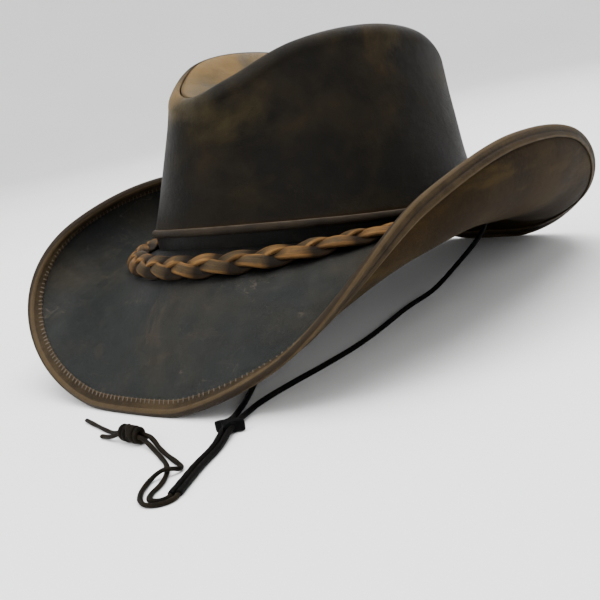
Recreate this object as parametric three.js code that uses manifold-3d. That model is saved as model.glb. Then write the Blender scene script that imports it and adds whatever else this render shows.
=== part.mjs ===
// Bush hat of oiled leather: a creased crown on a curled brim, with a plaited band and a chin cord.
// Millimetres, +Z up. The front of the hat faces -Y and its wearer's left is +X.
// The hat lies on the front and back dips of its brim, and the chin cord lies before it.
// The origin is on that surface, under the middle of the hat without its cord.

import * as THREE from "three";
import { mergeVertices } from "three/addons/utils/BufferGeometryUtils.js";
import Module from "manifold-3d";

const wasm = await Module();
wasm.setup();

// Crown foot: the oval in the middle of the welt, where crown and brim meet
const FOOT_HALF_LENGTH = 104;
const FOOT_HALF_WIDTH = 86;
const FOOT_HEIGHT = 61.4;
const FOOT_TILT = 13.6;
const FOOT_SAG = 2.6;

// Crown: the ridge is the line along the top of the shoulder
const CROWN_HEIGHT = 98;
const RIDGE_HALF_LENGTH = 86;
const RIDGE_HALF_WIDTH = 47;
const RIDGE_PINCH = 0.22;
const CROWN_LEAN = 5.3;
const SHOULDER_RADIUS = 8;
const SHOULDER_START = 5;
const WALL_WAIST = 1;
const DENT_DEPTH = 29;
const DENT_CENTRE_Y = 12;
const DENT_FLATNESS = 1.5;

// Brim, its binding and the plain band between brim and welt
const BRIM_WIDTH = 86.4;
const BRIM_INNER_LEDGE = 3;
const BAND_HEIGHT = 10.3;
const BINDING_REACH = 6;
const BINDING_WALL = 1.1;

// Leather, welt and the clearance between pieces that touch
const LEATHER = 2;
const WELT_DIAMETER = 4.6;
const CLEARANCE = 0.3;
const SEAM_GAP = 0.5;

// Plaited band
const PLAIT_WIDTH = 14;
const PLAIT_THICKNESS = 5;
const PLAIT_INSET = 5.4;
const PLAIT_LOBES = 36;
const PLAIT_SWELL = 0.35;

// Chin cord, its slide and its end knot
const CORD_DIAMETER = 2.8;
const LACE_DIAMETER = 2.1;
const CORD_HOLE_TURN = 136;
const CORD_HOLE_WIDTH = 4.6;
const CORD_HOLE_LENGTH = 11;
const CORD_INSET = 2.6;
const CORD_RISE = 5.1;
const SLIDE_REACH = 7;
const SLIDE_WAIST = 4.4;
const SLIDE_THICKNESS = 5.4;
const SLIDE_ARMS = 4;
const KNOT_LENGTH = 17;
const KNOT_DIAMETER = 8;

// How far the surface presses the edge flat where the hat lies on it, and how softly that begins
const REST_FLAT_DEPTH = 0.7;
const REST_EASE = 1.2;

const STATIONS = 60;
const BRIM_STEPS = 8;

// Height of the ridge as a share of CROWN_HEIGHT, its shoulder's radius as a share of
// SHOULDER_RADIUS, and how far over the shoulder the seam of the top lies, in degrees from its
// outermost line. A row every 30 degrees, from the front round to the back.
const CROWN_ROWS = [
  { height: 0.803, shoulder: 1.0, seam: 85 },
  { height: 0.866, shoulder: 1.0, seam: 85 },
  { height: 0.979, shoulder: 0.85, seam: 97 },
  { height: 1.0, shoulder: 1.1, seam: 114 },
  { height: 0.933, shoulder: 1.4, seam: 124 },
  { height: 0.79, shoulder: 1.7, seam: 125 },
  { height: 0.775, shoulder: 1.8, seam: 125 },
];

// Slope of the brim in degrees above level at the crown, half way out and at the edge, and its
// width as a share of BRIM_WIDTH. A row every 30 degrees, from the front round to the back.
const BRIM_ROWS = [
  { inner: -32, middle: -53, outer: -39, width: 1.04 },
  { inner: -20, middle: -38, outer: 2, width: 1.01 },
  { inner: 7, middle: 2, outer: 126, width: 1.0 },
  { inner: -4, middle: 34, outer: 130, width: 0.94 },
  { inner: -17, middle: 31, outer: 107, width: 0.96 },
  { inner: -31, middle: -10, outer: 36, width: 0.915 },
  { inner: -10, middle: -23, outer: -68, width: 0.97 },
];

// Outline of the end knot: its radius and place along it as shares of the knot's own
const KNOT_ROWS = [
  { radius: 0, along: -1 },
  { radius: 0.62, along: -0.98 },
  { radius: 1, along: -0.7 },
  { radius: 0.82, along: -0.36 },
  { radius: 1, along: 0 },
  { radius: 0.82, along: 0.36 },
  { radius: 1, along: 0.7 },
  { radius: 0.62, along: 0.98 },
  { radius: 0, along: 1 },
];

// Left strand of the cord, from its hole in the brim down to the surface and to the slide
const LEFT_STRAND = [
  [61.8, 70.4, 38.7], [64.5, 65.5, 36.7], [67.3, 60, 34.6], [69.2, 52, 31.2], [67.8, 45, 26.5],
  [63, 39.5, 20.5], [56, 35.5, 13.5], [49.5, 31.5, 7], [45.6, 25, 2.8], [44.2, 15, 1.4],
  [46.3, 0, 1.4], [51, -20, 1.4], [57, -44, 1.4], [61.5, -70, 1.4], [63.3, -96, 1.4],
  [64, -122, 1.4], [66, -146, 1.4], [70.6, -160, 1.7], [75.8, -170.2, 3.05],
];

// Right strand, from its own hole, under the hat and out past the front dip to the slide
const RIGHT_STRAND = [
  [-61.8, 70.4, 38.7], [-64.5, 65.5, 36.7], [-67.2, 59.5, 34.1], [-67.5, 51, 29.9],
  [-63.5, 42.5, 23.5], [-57, 35, 15.5], [-50, 27, 7.5], [-43, 17, 2.6], [-35.5, 3, 1.4],
  [-24, -18, 1.4], [-9, -43, 1.4], [8, -69, 1.4], [24, -95, 1.4], [38, -119, 1.4],
  [50.5, -137, 1.4], [61.5, -154, 1.5], [68.2, -165, 2.2], [72.9, -171.6, 3.05],
];

// The two strands side by side, from the slide to the fold where the laces begin
const LEFT_TAIL = [
  [80.1, -179.4, 3.05], [83.8, -186.3, 1.9], [87.7, -194, 1.4], [93.5, -208.3, 1.4],
  [100, -221.4, 1.4], [105, -231.3, 1.4],
];
const RIGHT_TAIL = [
  [77.2, -180.8, 3.05], [80.9, -187.6, 1.9], [84.8, -195.3, 1.4], [90.5, -209.7, 1.4],
  [97.1, -222.8, 1.4], [102, -232.8, 1.4],
];

// The two thin laces from the fold to the end knot, and the two ends that leave the knot
const LOOP_LACE = [
  [105.15, -231.62, 1.2], [106, -235, 1.05], [105, -238.9, 1.05], [102.2, -241.7, 1.05],
  [98.3, -242.7, 1.05], [93.2, -240.8, 1.05], [88.2, -236.5, 1.05], [84.3, -231.2, 1.05],
  [81.7, -225.6, 1.4], [82.6, -222.6, 2.7], [84.3, -220.2, 3.5], [85.9, -217.6, 2.9],
  [86.3, -214.6, 1.6], [84.3, -211.8, 1.05], [79.5, -209.6, 1.05], [73, -207, 1.05],
  [65.5, -204, 1.05], [57, -200.2, 1.3], [50, -197.1, 2.6], [44.8, -195.8, 3.8],
];
const STRAIGHT_LACE = [
  [102.15, -233.12, 1.2], [102.6, -235, 1.05], [101.6, -237.8, 1.05], [98.3, -239.3, 1.05],
  [95.5, -238.2, 1.05], [92.4, -234.2, 1.05], [90.3, -229, 1.05], [87.2, -223.6, 1.05],
  [82, -217.6, 1.05], [75, -212, 1.05], [66.6, -207.6, 1.05], [58.1, -203.6, 1.3],
  [50.4, -200.6, 2.6], [44.8, -199.2, 3.8],
];
const LONG_END = [
  [27.2, -195.4, 4], [22, -194.5, 2.4], [14.5, -193, 1.05], [0, -189.5, 1.05], [-16.4, -184.9, 1.05],
];
const SHORT_END = [[27.2, -198.6, 3.8], [22.2, -198.8, 2.2], [12.8, -197.8, 1.05]];

const SLIDE_CENTRE = new THREE.Vector3(76.5, -175.5, 3.05);
const SLIDE_TURN = -64.7;
const KNOT_CENTRE = new THREE.Vector3(36, -197.2, 4.3);
const KNOT_TURN = -3;

const radians = THREE.MathUtils.degToRad;

// Value of a table's column at a turn from the front, eased between its rows as one smooth curve
function rowValue(rows, column, turn) {
  const span = 180 / (rows.length - 1);
  const along = Math.abs(((turn + 180) % 360 + 360) % 360 - 180) / span;
  const row = Math.min(Math.floor(along), rows.length - 2);
  const f = along - row;
  const last = rows.length - 1;
  const value = (i) => rows[i < 0 ? -i : i > last ? 2 * last - i : i][column];
  const [a, b, c, d] = [value(row - 1), value(row), value(row + 1), value(row + 2)];
  return b + 0.5 * f * (c - a + f * (2 * a - 5 * b + 4 * c - d + f * (3 * (b - c) + d - a)));
}

// Point on the crown foot's oval, and its level outward direction
function foot(turn) {
  const t = radians(turn);
  const height = FOOT_HEIGHT + FOOT_TILT * Math.cos(t) - FOOT_SAG * Math.sin(t) ** 2;
  return new THREE.Vector3(FOOT_HALF_WIDTH * Math.sin(t), -FOOT_HALF_LENGTH * Math.cos(t), height);
}

function footOutward(turn) {
  const t = radians(turn);
  const x = FOOT_HALF_LENGTH * Math.sin(t);
  const y = -FOOT_HALF_WIDTH * Math.cos(t);
  return new THREE.Vector3(x, y, 0).normalize();
}

function brimSlope(turn, share) {
  const inner = rowValue(BRIM_ROWS, "inner", turn);
  const middle = rowValue(BRIM_ROWS, "middle", turn);
  const outer = rowValue(BRIM_ROWS, "outer", turn);
  const s = Math.max(share, 0);
  return radians(inner * (1 - s) * (1 - 2 * s) + 4 * middle * s * (1 - s) + outer * s * (2 * s - 1));
}

// Where the middle of the brim's leather is after a walk of this length outwards from the foot
function brimWalk(turn, distance) {
  const width = BRIM_WIDTH * rowValue(BRIM_ROWS, "width", turn);
  const step = distance / BRIM_STEPS;
  let out = 0;
  let up = -BAND_HEIGHT;
  for (let i = 0; i < BRIM_STEPS; i += 1) {
    const slope = brimSlope(turn, ((i + 0.5) * step) / width);
    out += step * Math.cos(slope);
    up += step * Math.sin(slope);
  }
  return { out, up, slope: brimSlope(turn, distance / width), width };
}

// How far the surface under the hat pushes the edge up where the brim would reach below it
function restLift(turn) {
  const edge = brimWalk(turn, BRIM_WIDTH * rowValue(BRIM_ROWS, "width", turn));
  const half = LEATHER / 2 + CLEARANCE + BINDING_WALL;
  const reach = half - REST_FLAT_DEPTH - foot(turn).z - edge.up;
  return (reach + Math.hypot(reach, REST_EASE)) / 2;
}

// Point of the brim by distance from the foot and height over the middle of its leather
function brimPoint(turn, distance, over = 0) {
  const at = brimWalk(turn, distance);
  const share = Math.max(distance, 0) / at.width;
  const out = at.out - over * Math.sin(at.slope);
  const up = at.up + over * Math.cos(at.slope) + restLift(turn) * Math.min(share, 1) ** 2;
  return foot(turn).addScaledVector(footOutward(turn), out).add(new THREE.Vector3(0, 0, up));
}

// Ridge of the crown: an egg shape, narrow to the front, with its own outward direction
function ridge(turn) {
  const t = radians(turn);
  const pinch = 1 - RIDGE_PINCH * Math.cos(t);
  const height = CROWN_HEIGHT * rowValue(CROWN_ROWS, "height", turn);
  const x = RIDGE_HALF_WIDTH * Math.sin(t) * pinch;
  return new THREE.Vector3(x, CROWN_LEAN - RIDGE_HALF_LENGTH * Math.cos(t), FOOT_HEIGHT + height);
}

function ridgeOutward(turn) {
  const step = 0.5;
  const along = ridge(turn + step).sub(ridge(turn - step));
  return new THREE.Vector3(along.y, -along.x, 0).normalize();
}

// Point on the middle of the shoulder's leather, by its angle over the outermost line
function shoulder(turn, angle) {
  const radius = SHOULDER_RADIUS * rowValue(CROWN_ROWS, "shoulder", turn);
  const a = radians(angle);
  const place = ridge(turn).addScaledVector(ridgeOutward(turn), radius * Math.cos(a));
  place.z += radius * (Math.sin(a) - 1);
  return place;
}

function shoulderNormal(turn, angle) {
  const normal = ridgeOutward(turn).multiplyScalar(Math.cos(radians(angle)));
  normal.z = Math.sin(radians(angle));
  return normal;
}

// Steps over each stretch, as shares of it
const WALL_STEPS = [0, 0.28, 0.56, 0.8];
const SHOULDER_STEPS = [0, 0.25, 0.5, 0.75, 1];
const DENT_STEPS = [1, 0.9, 0.76, 0.52, 0.26];
const BRIM_SHARES = [0, 0.2, 0.4, 0.6, 0.8];

// Angle over the shoulder by the share of the way from the wall to the seam
function shoulderAngle(turn, share) {
  return SHOULDER_START + share * (rowValue(CROWN_ROWS, "seam", turn) - SHOULDER_START);
}

function crownWall(turn, share) {
  const low = foot(turn);
  low.z += WELT_DIAMETER / 2 + CLEARANCE;
  const outward = footOutward(turn);
  const start = low.addScaledVector(outward, -LEATHER / 2);
  const waist = WALL_WAIST * Math.sin(Math.PI * share);
  return start.lerp(shoulder(turn, SHOULDER_START), share).addScaledVector(outward, -waist);
}

// Sunk top of the crown: it leaves its seam level, falls, and is flat along the middle
function crownTop(turn, share) {
  const angle = shoulderAngle(turn, 1);
  const seam = shoulder(turn, angle);
  const ahead = new THREE.Vector3(0, 0, Math.cos(radians(angle)));
  ahead.addScaledVector(ridgeOutward(turn), -Math.sin(radians(angle)));
  seam.addScaledVector(ahead, SEAM_GAP);
  const floor = FOOT_HEIGHT + CROWN_HEIGHT - DENT_DEPTH;
  const rise = THREE.MathUtils.smoothstep(share ** DENT_FLATNESS, 0, 1);
  const x = THREE.MathUtils.lerp(0, seam.x, share);
  const y = THREE.MathUtils.lerp(DENT_CENTRE_Y, seam.y, share);
  return new THREE.Vector3(x, y, THREE.MathUtils.lerp(floor, seam.z, rise));
}

// Closed mesh from sections round a loop, each a closed run of points. With poles, the first
// and last points of every section are one and the same point. Each four-sided field is split
// along its shorter diagonal, so that sheets which lie on each other bend alike.
function loopBody(sections, poles = false) {
  const count = sections[0].length;
  const points = sections.flat();
  const index = [];
  const last = poles ? count - 1 : count;
  sections.forEach((_section, i) => {
    const next = (i + 1) % sections.length;
    for (let j = 0; j < last; j += 1) {
      const k = (j + 1) % count;
      const [a, b, c, d] = [i * count + j, i * count + k, next * count + k, next * count + j];
      const along = points[a].distanceTo(points[c]) <= points[b].distanceTo(points[d]);
      if (poles && j === 0) index.push(a, b, c);
      else if (poles && j === last - 1) index.push(a, c, d);
      else if (along) index.push(a, b, c, a, c, d);
      else index.push(a, b, d, b, c, d);
    }
  });
  const positions = points.flatMap((p) => p.toArray());
  const geometry = new THREE.BufferGeometry();
  geometry.setAttribute("position", new THREE.Float32BufferAttribute(positions, 3));
  geometry.setIndex(index);
  return facingOut(mergeVertices(geometry, 1e-4));
}

// Turns every face round if the mesh has its inside out
function facingOut(geometry) {
  const p = geometry.attributes.position;
  const corner = (i) => new THREE.Vector3().fromBufferAttribute(p, geometry.index.getX(i));
  let volume = 0;
  for (let i = 0; i < geometry.index.count; i += 3) {
    volume += corner(i).dot(corner(i + 1).cross(corner(i + 2)));
  }
  if (volume < 0) {
    for (let i = 0; i < geometry.index.count; i += 3) {
      const swap = geometry.index.getX(i + 1);
      geometry.index.setX(i + 1, geometry.index.getX(i + 2));
      geometry.index.setX(i + 2, swap);
    }
  }
  return geometry;
}

const turns = Array.from({ length: STATIONS }, (_, i) => (360 * i) / STATIONS);

// Sheet of leather round the hat: point(turn, v) gives the middle of it, and normals are its own
function leatherRing(point, steps) {
  return loopBody(turns.map((turn) => {
    const middle = steps.map((v) => point(turn, v));
    const normals = middle.map((_, i) => sheetNormal(point, turn, steps, i));
    return [...offset(middle, normals, LEATHER / 2), ...offset(middle, normals, -LEATHER / 2).reverse()];
  }));
}

function offset(points, normals, distance) {
  return points.map((p, i) => p.clone().addScaledVector(normals[i], distance));
}

function sheetNormal(point, turn, steps, i) {
  const step = 1;
  const around = point(turn + step, steps[i]).sub(point(turn - step, steps[i]));
  const ahead = point(turn, steps[Math.min(i + 1, steps.length - 1)]);
  const across = ahead.sub(point(turn, steps[Math.max(i - 1, 0)]));
  return around.cross(across).normalize();
}

function crownSide() {
  const steps = [...WALL_STEPS, ...SHOULDER_STEPS.map((v) => 1 + v)];
  const onShoulder = (turn, v) => shoulder(turn, shoulderAngle(turn, v - 1));
  return leatherRing((turn, v) => (v < 1 ? crownWall(turn, v) : onShoulder(turn, v)), steps);
}

function crownTopPanel() {
  const half = new THREE.Vector3(0, 0, LEATHER / 2);
  const pole = crownTop(0, 0);
  return loopBody(turns.map((turn) => {
    const middle = DENT_STEPS.map((v) => crownTop(turn, v));
    const normals = middle.map((_, i) => sheetNormal(crownTop, turn, DENT_STEPS, i));
    if (normals[1].z < 0) normals.forEach((n) => n.negate());
    normals[0] = shoulderNormal(turn, shoulderAngle(turn, 1));
    const [above, below] = [LEATHER / 2, -LEATHER / 2].map((d) => offset(middle, normals, d));
    return [pole.clone().add(half), ...above.reverse(), ...below, pole.clone().sub(half)];
  }), true);
}

function welt() {
  const sides = 6;
  const corners = Array.from({ length: sides }, (_, i) => radians((360 * i) / sides));
  const radius = WELT_DIAMETER / 2;
  return loopBody(turns.map((turn) => corners.map((a) => {
    const place = foot(turn).addScaledVector(footOutward(turn), radius * Math.cos(a));
    return place.add(new THREE.Vector3(0, 0, radius * Math.sin(a)));
  })));
}

// Height of the brim's top face over the foot, at a level distance from it
function brimTop(turn, out) {
  const slope = brimSlope(turn, 0);
  return -BAND_HEIGHT + out * Math.tan(slope) + LEATHER / 2 / Math.cos(slope) + CLEARANCE;
}

function footBand() {
  const top = -WELT_DIAMETER / 2 - CLEARANCE;
  return loopBody(turns.map((turn) => {
    const [face, back] = [brimTop(turn, 0), brimTop(turn, -LEATHER)];
    const section = [[0, top], [0, face], [-LEATHER, back], [-LEATHER, top]];
    return section.map(([out, up]) => {
      const place = foot(turn).addScaledVector(footOutward(turn), out);
      return place.add(new THREE.Vector3(0, 0, up));
    });
  }));
}

// Closed mesh to solid and back, for the cord holes
function toSolid(geometry) {
  const bare = geometry.clone();
  bare.deleteAttribute("normal");
  bare.deleteAttribute("uv");
  const merged = mergeVertices(bare, 1e-4);
  const vertProperties = merged.attributes.position.array;
  const triVerts = new Uint32Array(merged.index.array);
  return new wasm.Manifold(new wasm.Mesh({ numProp: 3, vertProperties, triVerts }));
}

function fromSolid(solid) {
  const mesh = solid.getMesh();
  const geometry = new THREE.BufferGeometry();
  geometry.setAttribute("position", new THREE.BufferAttribute(mesh.vertProperties, 3));
  geometry.setIndex(new THREE.BufferAttribute(mesh.triVerts, 1));
  return geometry;
}

// Slot through the brim for the cord, long along the foot
function cordHole(side) {
  const half = CORD_HOLE_WIDTH / 2;
  const run = CORD_HOLE_LENGTH / 2 - half;
  const outline = new THREE.Shape();
  outline.absarc(run, 0, half, -Math.PI / 2, Math.PI / 2);
  outline.absarc(-run, 0, half, Math.PI / 2, (3 * Math.PI) / 2);
  const depth = 6 * LEATHER;
  const settings = { depth, bevelEnabled: false, curveSegments: 4 };
  const cutter = new THREE.ExtrudeGeometry(outline, settings).translate(0, 0, -depth / 2);
  const outward = footOutward(side * CORD_HOLE_TURN);
  const along = new THREE.Vector3(-outward.y, outward.x, 0);
  const up = new THREE.Vector3(0, 0, 1);
  const basis = new THREE.Matrix4().makeBasis(along, outward.clone().negate(), up);
  cutter.applyMatrix4(basis.setPosition(brimPoint(side * CORD_HOLE_TURN, CORD_INSET)));
  return facingOut(mergeVertices(stripped(cutter), 1e-4));
}

function stripped(geometry) {
  geometry.deleteAttribute("normal");
  geometry.deleteAttribute("uv");
  return geometry;
}

function brim() {
  const sections = turns.map((turn) => {
    const width = brimWalk(turn, 0).width;
    const open = BRIM_SHARES.map((s) => s * (width - BINDING_REACH));
    const distances = [-BRIM_INNER_LEDGE, ...open, ...boundDistances(width)];
    const side = (over) => distances.map((d) => brimPoint(turn, d, over));
    return [...side(LEATHER / 2), ...side(-LEATHER / 2).reverse()];
  });
  let solid = toSolid(loopBody(sections));
  for (const side of [1, -1]) solid = solid.subtract(toSolid(cordHole(side)));
  return fromSolid(solid);
}

// Distances at which the binding and the brim under it both bend
function boundDistances(width) {
  return [width - BINDING_REACH, width - BINDING_REACH / 2, width];
}

// Folded strip round the brim's edge, pressed flat where it lies on the surface
function binding() {
  const inside = LEATHER / 2 + CLEARANCE;
  const outside = inside + BINDING_WALL;
  const noseAngles = [54, 18, -18, -54].map(radians);
  const at = (distances, over) => distances.map((d) => [d, over]);
  return loopBody(turns.map((turn) => {
    const width = brimWalk(turn, 0).width;
    const back = boundDistances(width);
    const nose = noseAngles.map((a) => [width + outside * Math.cos(a), outside * Math.sin(a)]);
    const outer = [...at(back, outside), ...nose, ...at(back, -outside).reverse()];
    const inner = [...back.slice(0, 2), width + CLEARANCE];
    const run = [...outer, ...at(inner, -inside), ...at(inner, inside).reverse()];
    return run.map(([d, over]) => {
      const place = bindingPoint(turn, width, d, over);
      place.z = Math.max(place.z, Math.abs(over) > inside || d > width + CLEARANCE ? 0 : -outside);
      return place;
    });
  }));
}

// Beyond the brim's edge the strip runs straight on at the edge's own slope
function bindingPoint(turn, width, distance, over) {
  const place = brimPoint(turn, Math.min(distance, width), over);
  const past = Math.max(distance - width, 0);
  const slope = brimSlope(turn, 1);
  place.addScaledVector(footOutward(turn), past * Math.cos(slope));
  place.z += past * Math.sin(slope);
  return place;
}

// Plaited band as one solid: a flattened roll on the brim whose edges swell at each lobe, the
// outer edge between the lobes of the inner one
function plait() {
  const count = 3 * PLAIT_LOBES;
  const corners = 6;
  const halfWidth = PLAIT_WIDTH / 2 - PLAIT_SWELL;
  const middle = PLAIT_INSET + PLAIT_WIDTH / 2;
  return loopBody(Array.from({ length: count }, (_, i) => {
    const turn = (360 * i) / count;
    return Array.from({ length: corners }, (_unused, j) => {
      const a = radians(180 + (360 * j) / corners);
      const swell = PLAIT_SWELL * Math.cos(radians(PLAIT_LOBES * turn));
      const across = halfWidth * Math.cos(a) + swell;
      const over = LEATHER / 2 + CLEARANCE + (PLAIT_THICKNESS / 2) * (1 + Math.sin(a));
      return brimPoint(turn, middle + across, over);
    });
  }));
}

// Curve whose evenly counted sections stand at the chosen points of the route
class Route extends THREE.CatmullRomCurve3 {
  getPointAt(u, target) {
    return this.getPoint(u, target);
  }
  getTangentAt(u, target) {
    return this.getTangent(u, target);
  }
}

// Cord stretch as a tube with a section at each point of its route
function tube(points, diameter) {
  const sides = 8;
  const path = new Route(points, false, "centripetal");
  const section = new THREE.Shape(Array.from({ length: sides }, (_, i) => {
    const a = radians((360 * (i + 0.5)) / sides);
    return new THREE.Vector2((diameter / 2) * Math.cos(a), (diameter / 2) * Math.sin(a));
  }));
  const steps = points.length - 1;
  const settings = { steps, bevelEnabled: false, extrudePath: path };
  const geometry = new THREE.ExtrudeGeometry(section, settings);
  return facingOut(mergeVertices(stripped(geometry), 1e-4));
}

const routePoints = (route) => route.map((p) => new THREE.Vector3(...p));

// Hidden stretch: out of one hole, on the brim behind the plait round the back, to the other hole
function backStretch() {
  const over = LEATHER / 2 + CLEARANCE + CORD_DIAMETER / 2;
  const left = [brimPoint(CORD_HOLE_TURN, CORD_INSET, 0)];
  const rise = CORD_HOLE_TURN + THREE.MathUtils.radToDeg(CORD_RISE / foot(CORD_HOLE_TURN).length());
  left.push(brimPoint(rise, CORD_INSET, over + CLEARANCE));
  const count = 5;
  for (let i = 1; i <= count; i += 1) {
    left.push(brimPoint(rise + ((180 - rise) * i) / (count + 0.5), CORD_INSET, over));
  }
  const right = left.map((p) => new THREE.Vector3(-p.x, p.y, p.z)).reverse();
  return [...left, ...right];
}

// Star-shaped slide with four arms, lying on the surface
function slide() {
  const outline = new THREE.Shape(Array.from({ length: 2 * SLIDE_ARMS }, (_, i) => {
    const reach = i % 2 === 0 ? SLIDE_REACH : SLIDE_WAIST;
    const a = radians((180 * (i + 1)) / SLIDE_ARMS);
    return new THREE.Vector2(reach * Math.cos(a), reach * Math.sin(a));
  }));
  const settings = { depth: SLIDE_THICKNESS, bevelEnabled: false };
  return new THREE.ExtrudeGeometry(outline, settings).translate(0, 0, -SLIDE_THICKNESS / 2);
}

// End knot: a short barrel of wrapped lace with three rounds
function knot() {
  const place = (row) => new THREE.Vector2(row.radius * KNOT_DIAMETER, row.along * KNOT_LENGTH);
  return new THREE.LatheGeometry(KNOT_ROWS.map((row) => place(row).divideScalar(2)), 10);
}

// Materials
function finish(color, roughness, metalness = 0) {
  return new THREE.MeshStandardMaterial({ color, roughness, metalness });
}
const CROWN_LEATHER = finish(0x2b251f, 0.55);
const TOP_LEATHER = finish(0x4a3b28, 0.6);
const BRIM_LEATHER = finish(0x30343a, 0.6);
const WELT_LEATHER = finish(0x4b4038, 0.5);
const BINDING_LEATHER = finish(0x4a3a2c, 0.6);
const PLAIT_LEATHER = finish(0x6e4a2c, 0.65);
const CORD_BRAID = finish(0x16130f, 0.8);
const LACE_LEATHER = finish(0x3a2c22, 0.75);
const SLIDE_PLASTIC = finish(0x151517, 0.4);

const hat = new THREE.Group();
function add(name, geometry, material, parent = hat) {
  const mesh = new THREE.Mesh(geometry, material.clone());
  mesh.name = name;
  parent.add(mesh);
  return mesh;
}

const headPiece = new THREE.Group();
hat.add(headPiece);
add("crown_side", crownSide(), CROWN_LEATHER, headPiece);
add("crown_top", crownTopPanel(), TOP_LEATHER, headPiece);
add("crown_welt", welt(), WELT_LEATHER, headPiece);
add("foot_band", footBand(), BRIM_LEATHER, headPiece);
add("brim", brim(), BRIM_LEATHER, headPiece);
add("brim_binding", binding(), BINDING_LEATHER, headPiece);
add("plaited_band", plait(), PLAIT_LEATHER, headPiece);
add("cord_back", tube(backStretch(), CORD_DIAMETER), CORD_BRAID, headPiece);

// The crown, brim and what they carry are centred over the origin, front to back
const box = new THREE.Box3().setFromObject(headPiece);
headPiece.position.y = -(box.min.y + box.max.y) / 2;

add("cord_left", tube(routePoints(LEFT_STRAND), CORD_DIAMETER), CORD_BRAID);
add("cord_right", tube(routePoints(RIGHT_STRAND), CORD_DIAMETER), CORD_BRAID);
add("cord_left_tail", tube(routePoints(LEFT_TAIL), CORD_DIAMETER), CORD_BRAID);
add("cord_right_tail", tube(routePoints(RIGHT_TAIL), CORD_DIAMETER), CORD_BRAID);
add("lace_loop", tube(routePoints(LOOP_LACE), LACE_DIAMETER), LACE_LEATHER);
add("lace_straight", tube(routePoints(STRAIGHT_LACE), LACE_DIAMETER), LACE_LEATHER);
add("lace_long_end", tube(routePoints(LONG_END), LACE_DIAMETER), LACE_LEATHER);
add("lace_short_end", tube(routePoints(SHORT_END), LACE_DIAMETER), LACE_LEATHER);

const star = add("cord_slide", slide(), SLIDE_PLASTIC);
star.position.copy(SLIDE_CENTRE);
star.rotation.z = radians(SLIDE_TURN);

const endKnot = add("end_knot", knot(), LACE_LEATHER);
endKnot.position.copy(KNOT_CENTRE);
endKnot.rotation.set(0, 0, radians(KNOT_TURN - 90));

export default hat;
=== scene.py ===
"""Bush hat of oiled leather: creased crown, curled brim with a stitched edge, plaited band and chin cord.

Metres, +Z up. The front of the hat faces -Y and its wearer's left is +X. Turns are in degrees
round the crown's foot, from the front towards the wearer's left.
"""

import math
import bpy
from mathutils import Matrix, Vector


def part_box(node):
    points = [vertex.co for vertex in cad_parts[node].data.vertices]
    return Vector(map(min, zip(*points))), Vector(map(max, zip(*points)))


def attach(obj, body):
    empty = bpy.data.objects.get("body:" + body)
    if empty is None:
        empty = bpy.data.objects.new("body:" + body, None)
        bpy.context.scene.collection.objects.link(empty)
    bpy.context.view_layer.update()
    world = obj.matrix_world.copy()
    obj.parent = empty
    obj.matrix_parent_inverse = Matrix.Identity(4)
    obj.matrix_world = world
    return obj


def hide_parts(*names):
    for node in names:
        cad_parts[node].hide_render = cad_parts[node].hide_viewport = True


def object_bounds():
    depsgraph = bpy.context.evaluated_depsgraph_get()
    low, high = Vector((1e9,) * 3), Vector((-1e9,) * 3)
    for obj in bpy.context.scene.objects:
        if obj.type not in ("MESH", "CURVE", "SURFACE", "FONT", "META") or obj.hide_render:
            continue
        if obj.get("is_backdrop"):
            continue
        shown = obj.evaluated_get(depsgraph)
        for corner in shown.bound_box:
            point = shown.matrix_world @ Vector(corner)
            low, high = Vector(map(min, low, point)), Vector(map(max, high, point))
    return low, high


bl_info = {
    "name": "Bush Hat",
    "version": (1, 0, 0),
    "blender": (4, 5, 0),
    "location": "3D View > Sidebar > Bush Hat",
    "description": "Builds a creased leather bush hat with a plaited band and a chin cord",
    "category": "Add Mesh",
}

import bmesh
import bpy
import numpy as np
from bpy.props import FloatProperty, FloatVectorProperty, IntProperty, PointerProperty
from mathutils import Matrix, Vector

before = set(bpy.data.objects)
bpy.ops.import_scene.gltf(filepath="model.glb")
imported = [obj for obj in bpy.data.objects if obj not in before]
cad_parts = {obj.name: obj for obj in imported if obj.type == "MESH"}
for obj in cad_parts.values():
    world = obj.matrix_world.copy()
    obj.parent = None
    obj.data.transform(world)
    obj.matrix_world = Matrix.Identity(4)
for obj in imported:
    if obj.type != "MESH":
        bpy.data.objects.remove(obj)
CAD_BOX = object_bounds()

MM = 0.001
BODY = "root"

# Camera: it turns round the crown's foot, which shows at a pixel of the 600 by 600 picture
PICTURE = 600
CAMERA_AZIMUTH = 42.0
CAMERA_ELEVATION = 8.0
CAMERA_ROLL = -11.5
CAMERA_DISTANCE = 0.6
FOCAL_PIXELS = 1017.6
FOOT_PIXEL = (322.0, 211.0)
SENSOR_WIDTH = 36.0

# Level middle of the hat's foot oval in the frame, front to back
welt_low, welt_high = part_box("crown_welt")
FOOT_CENTRE_Y = (welt_low.y + welt_high.y) / 2

# The foot rises to the front and hangs at the sides
FOOT_TILT = 13.6 * MM
FOOT_SAG = 2.6 * MM

# The ridge lies a little to the back and is narrower to the front, and the wall is drawn in half way
# up and swells unevenly
CROWN_LEAN = 5.3 * MM
RIDGE_PINCH = 0.22
WALL_WAIST = 1 * MM
WALL_SWELL = 0.9 * MM

# Rolled shoulder: the wall meets it this many degrees over its outermost line
SHOULDER_RADIUS = 8 * MM
SHOULDER_START = 5.0

# Sunk top: its middle lies behind the foot's, and a higher flatness keeps more of it level
DENT_DEPTH = 29 * MM
DENT_CENTRE_Y = 12 * MM
DENT_FLATNESS = 1.5
DENT_SWELL = 0.7 * MM
SEAM_GAP = 0.5 * MM

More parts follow.
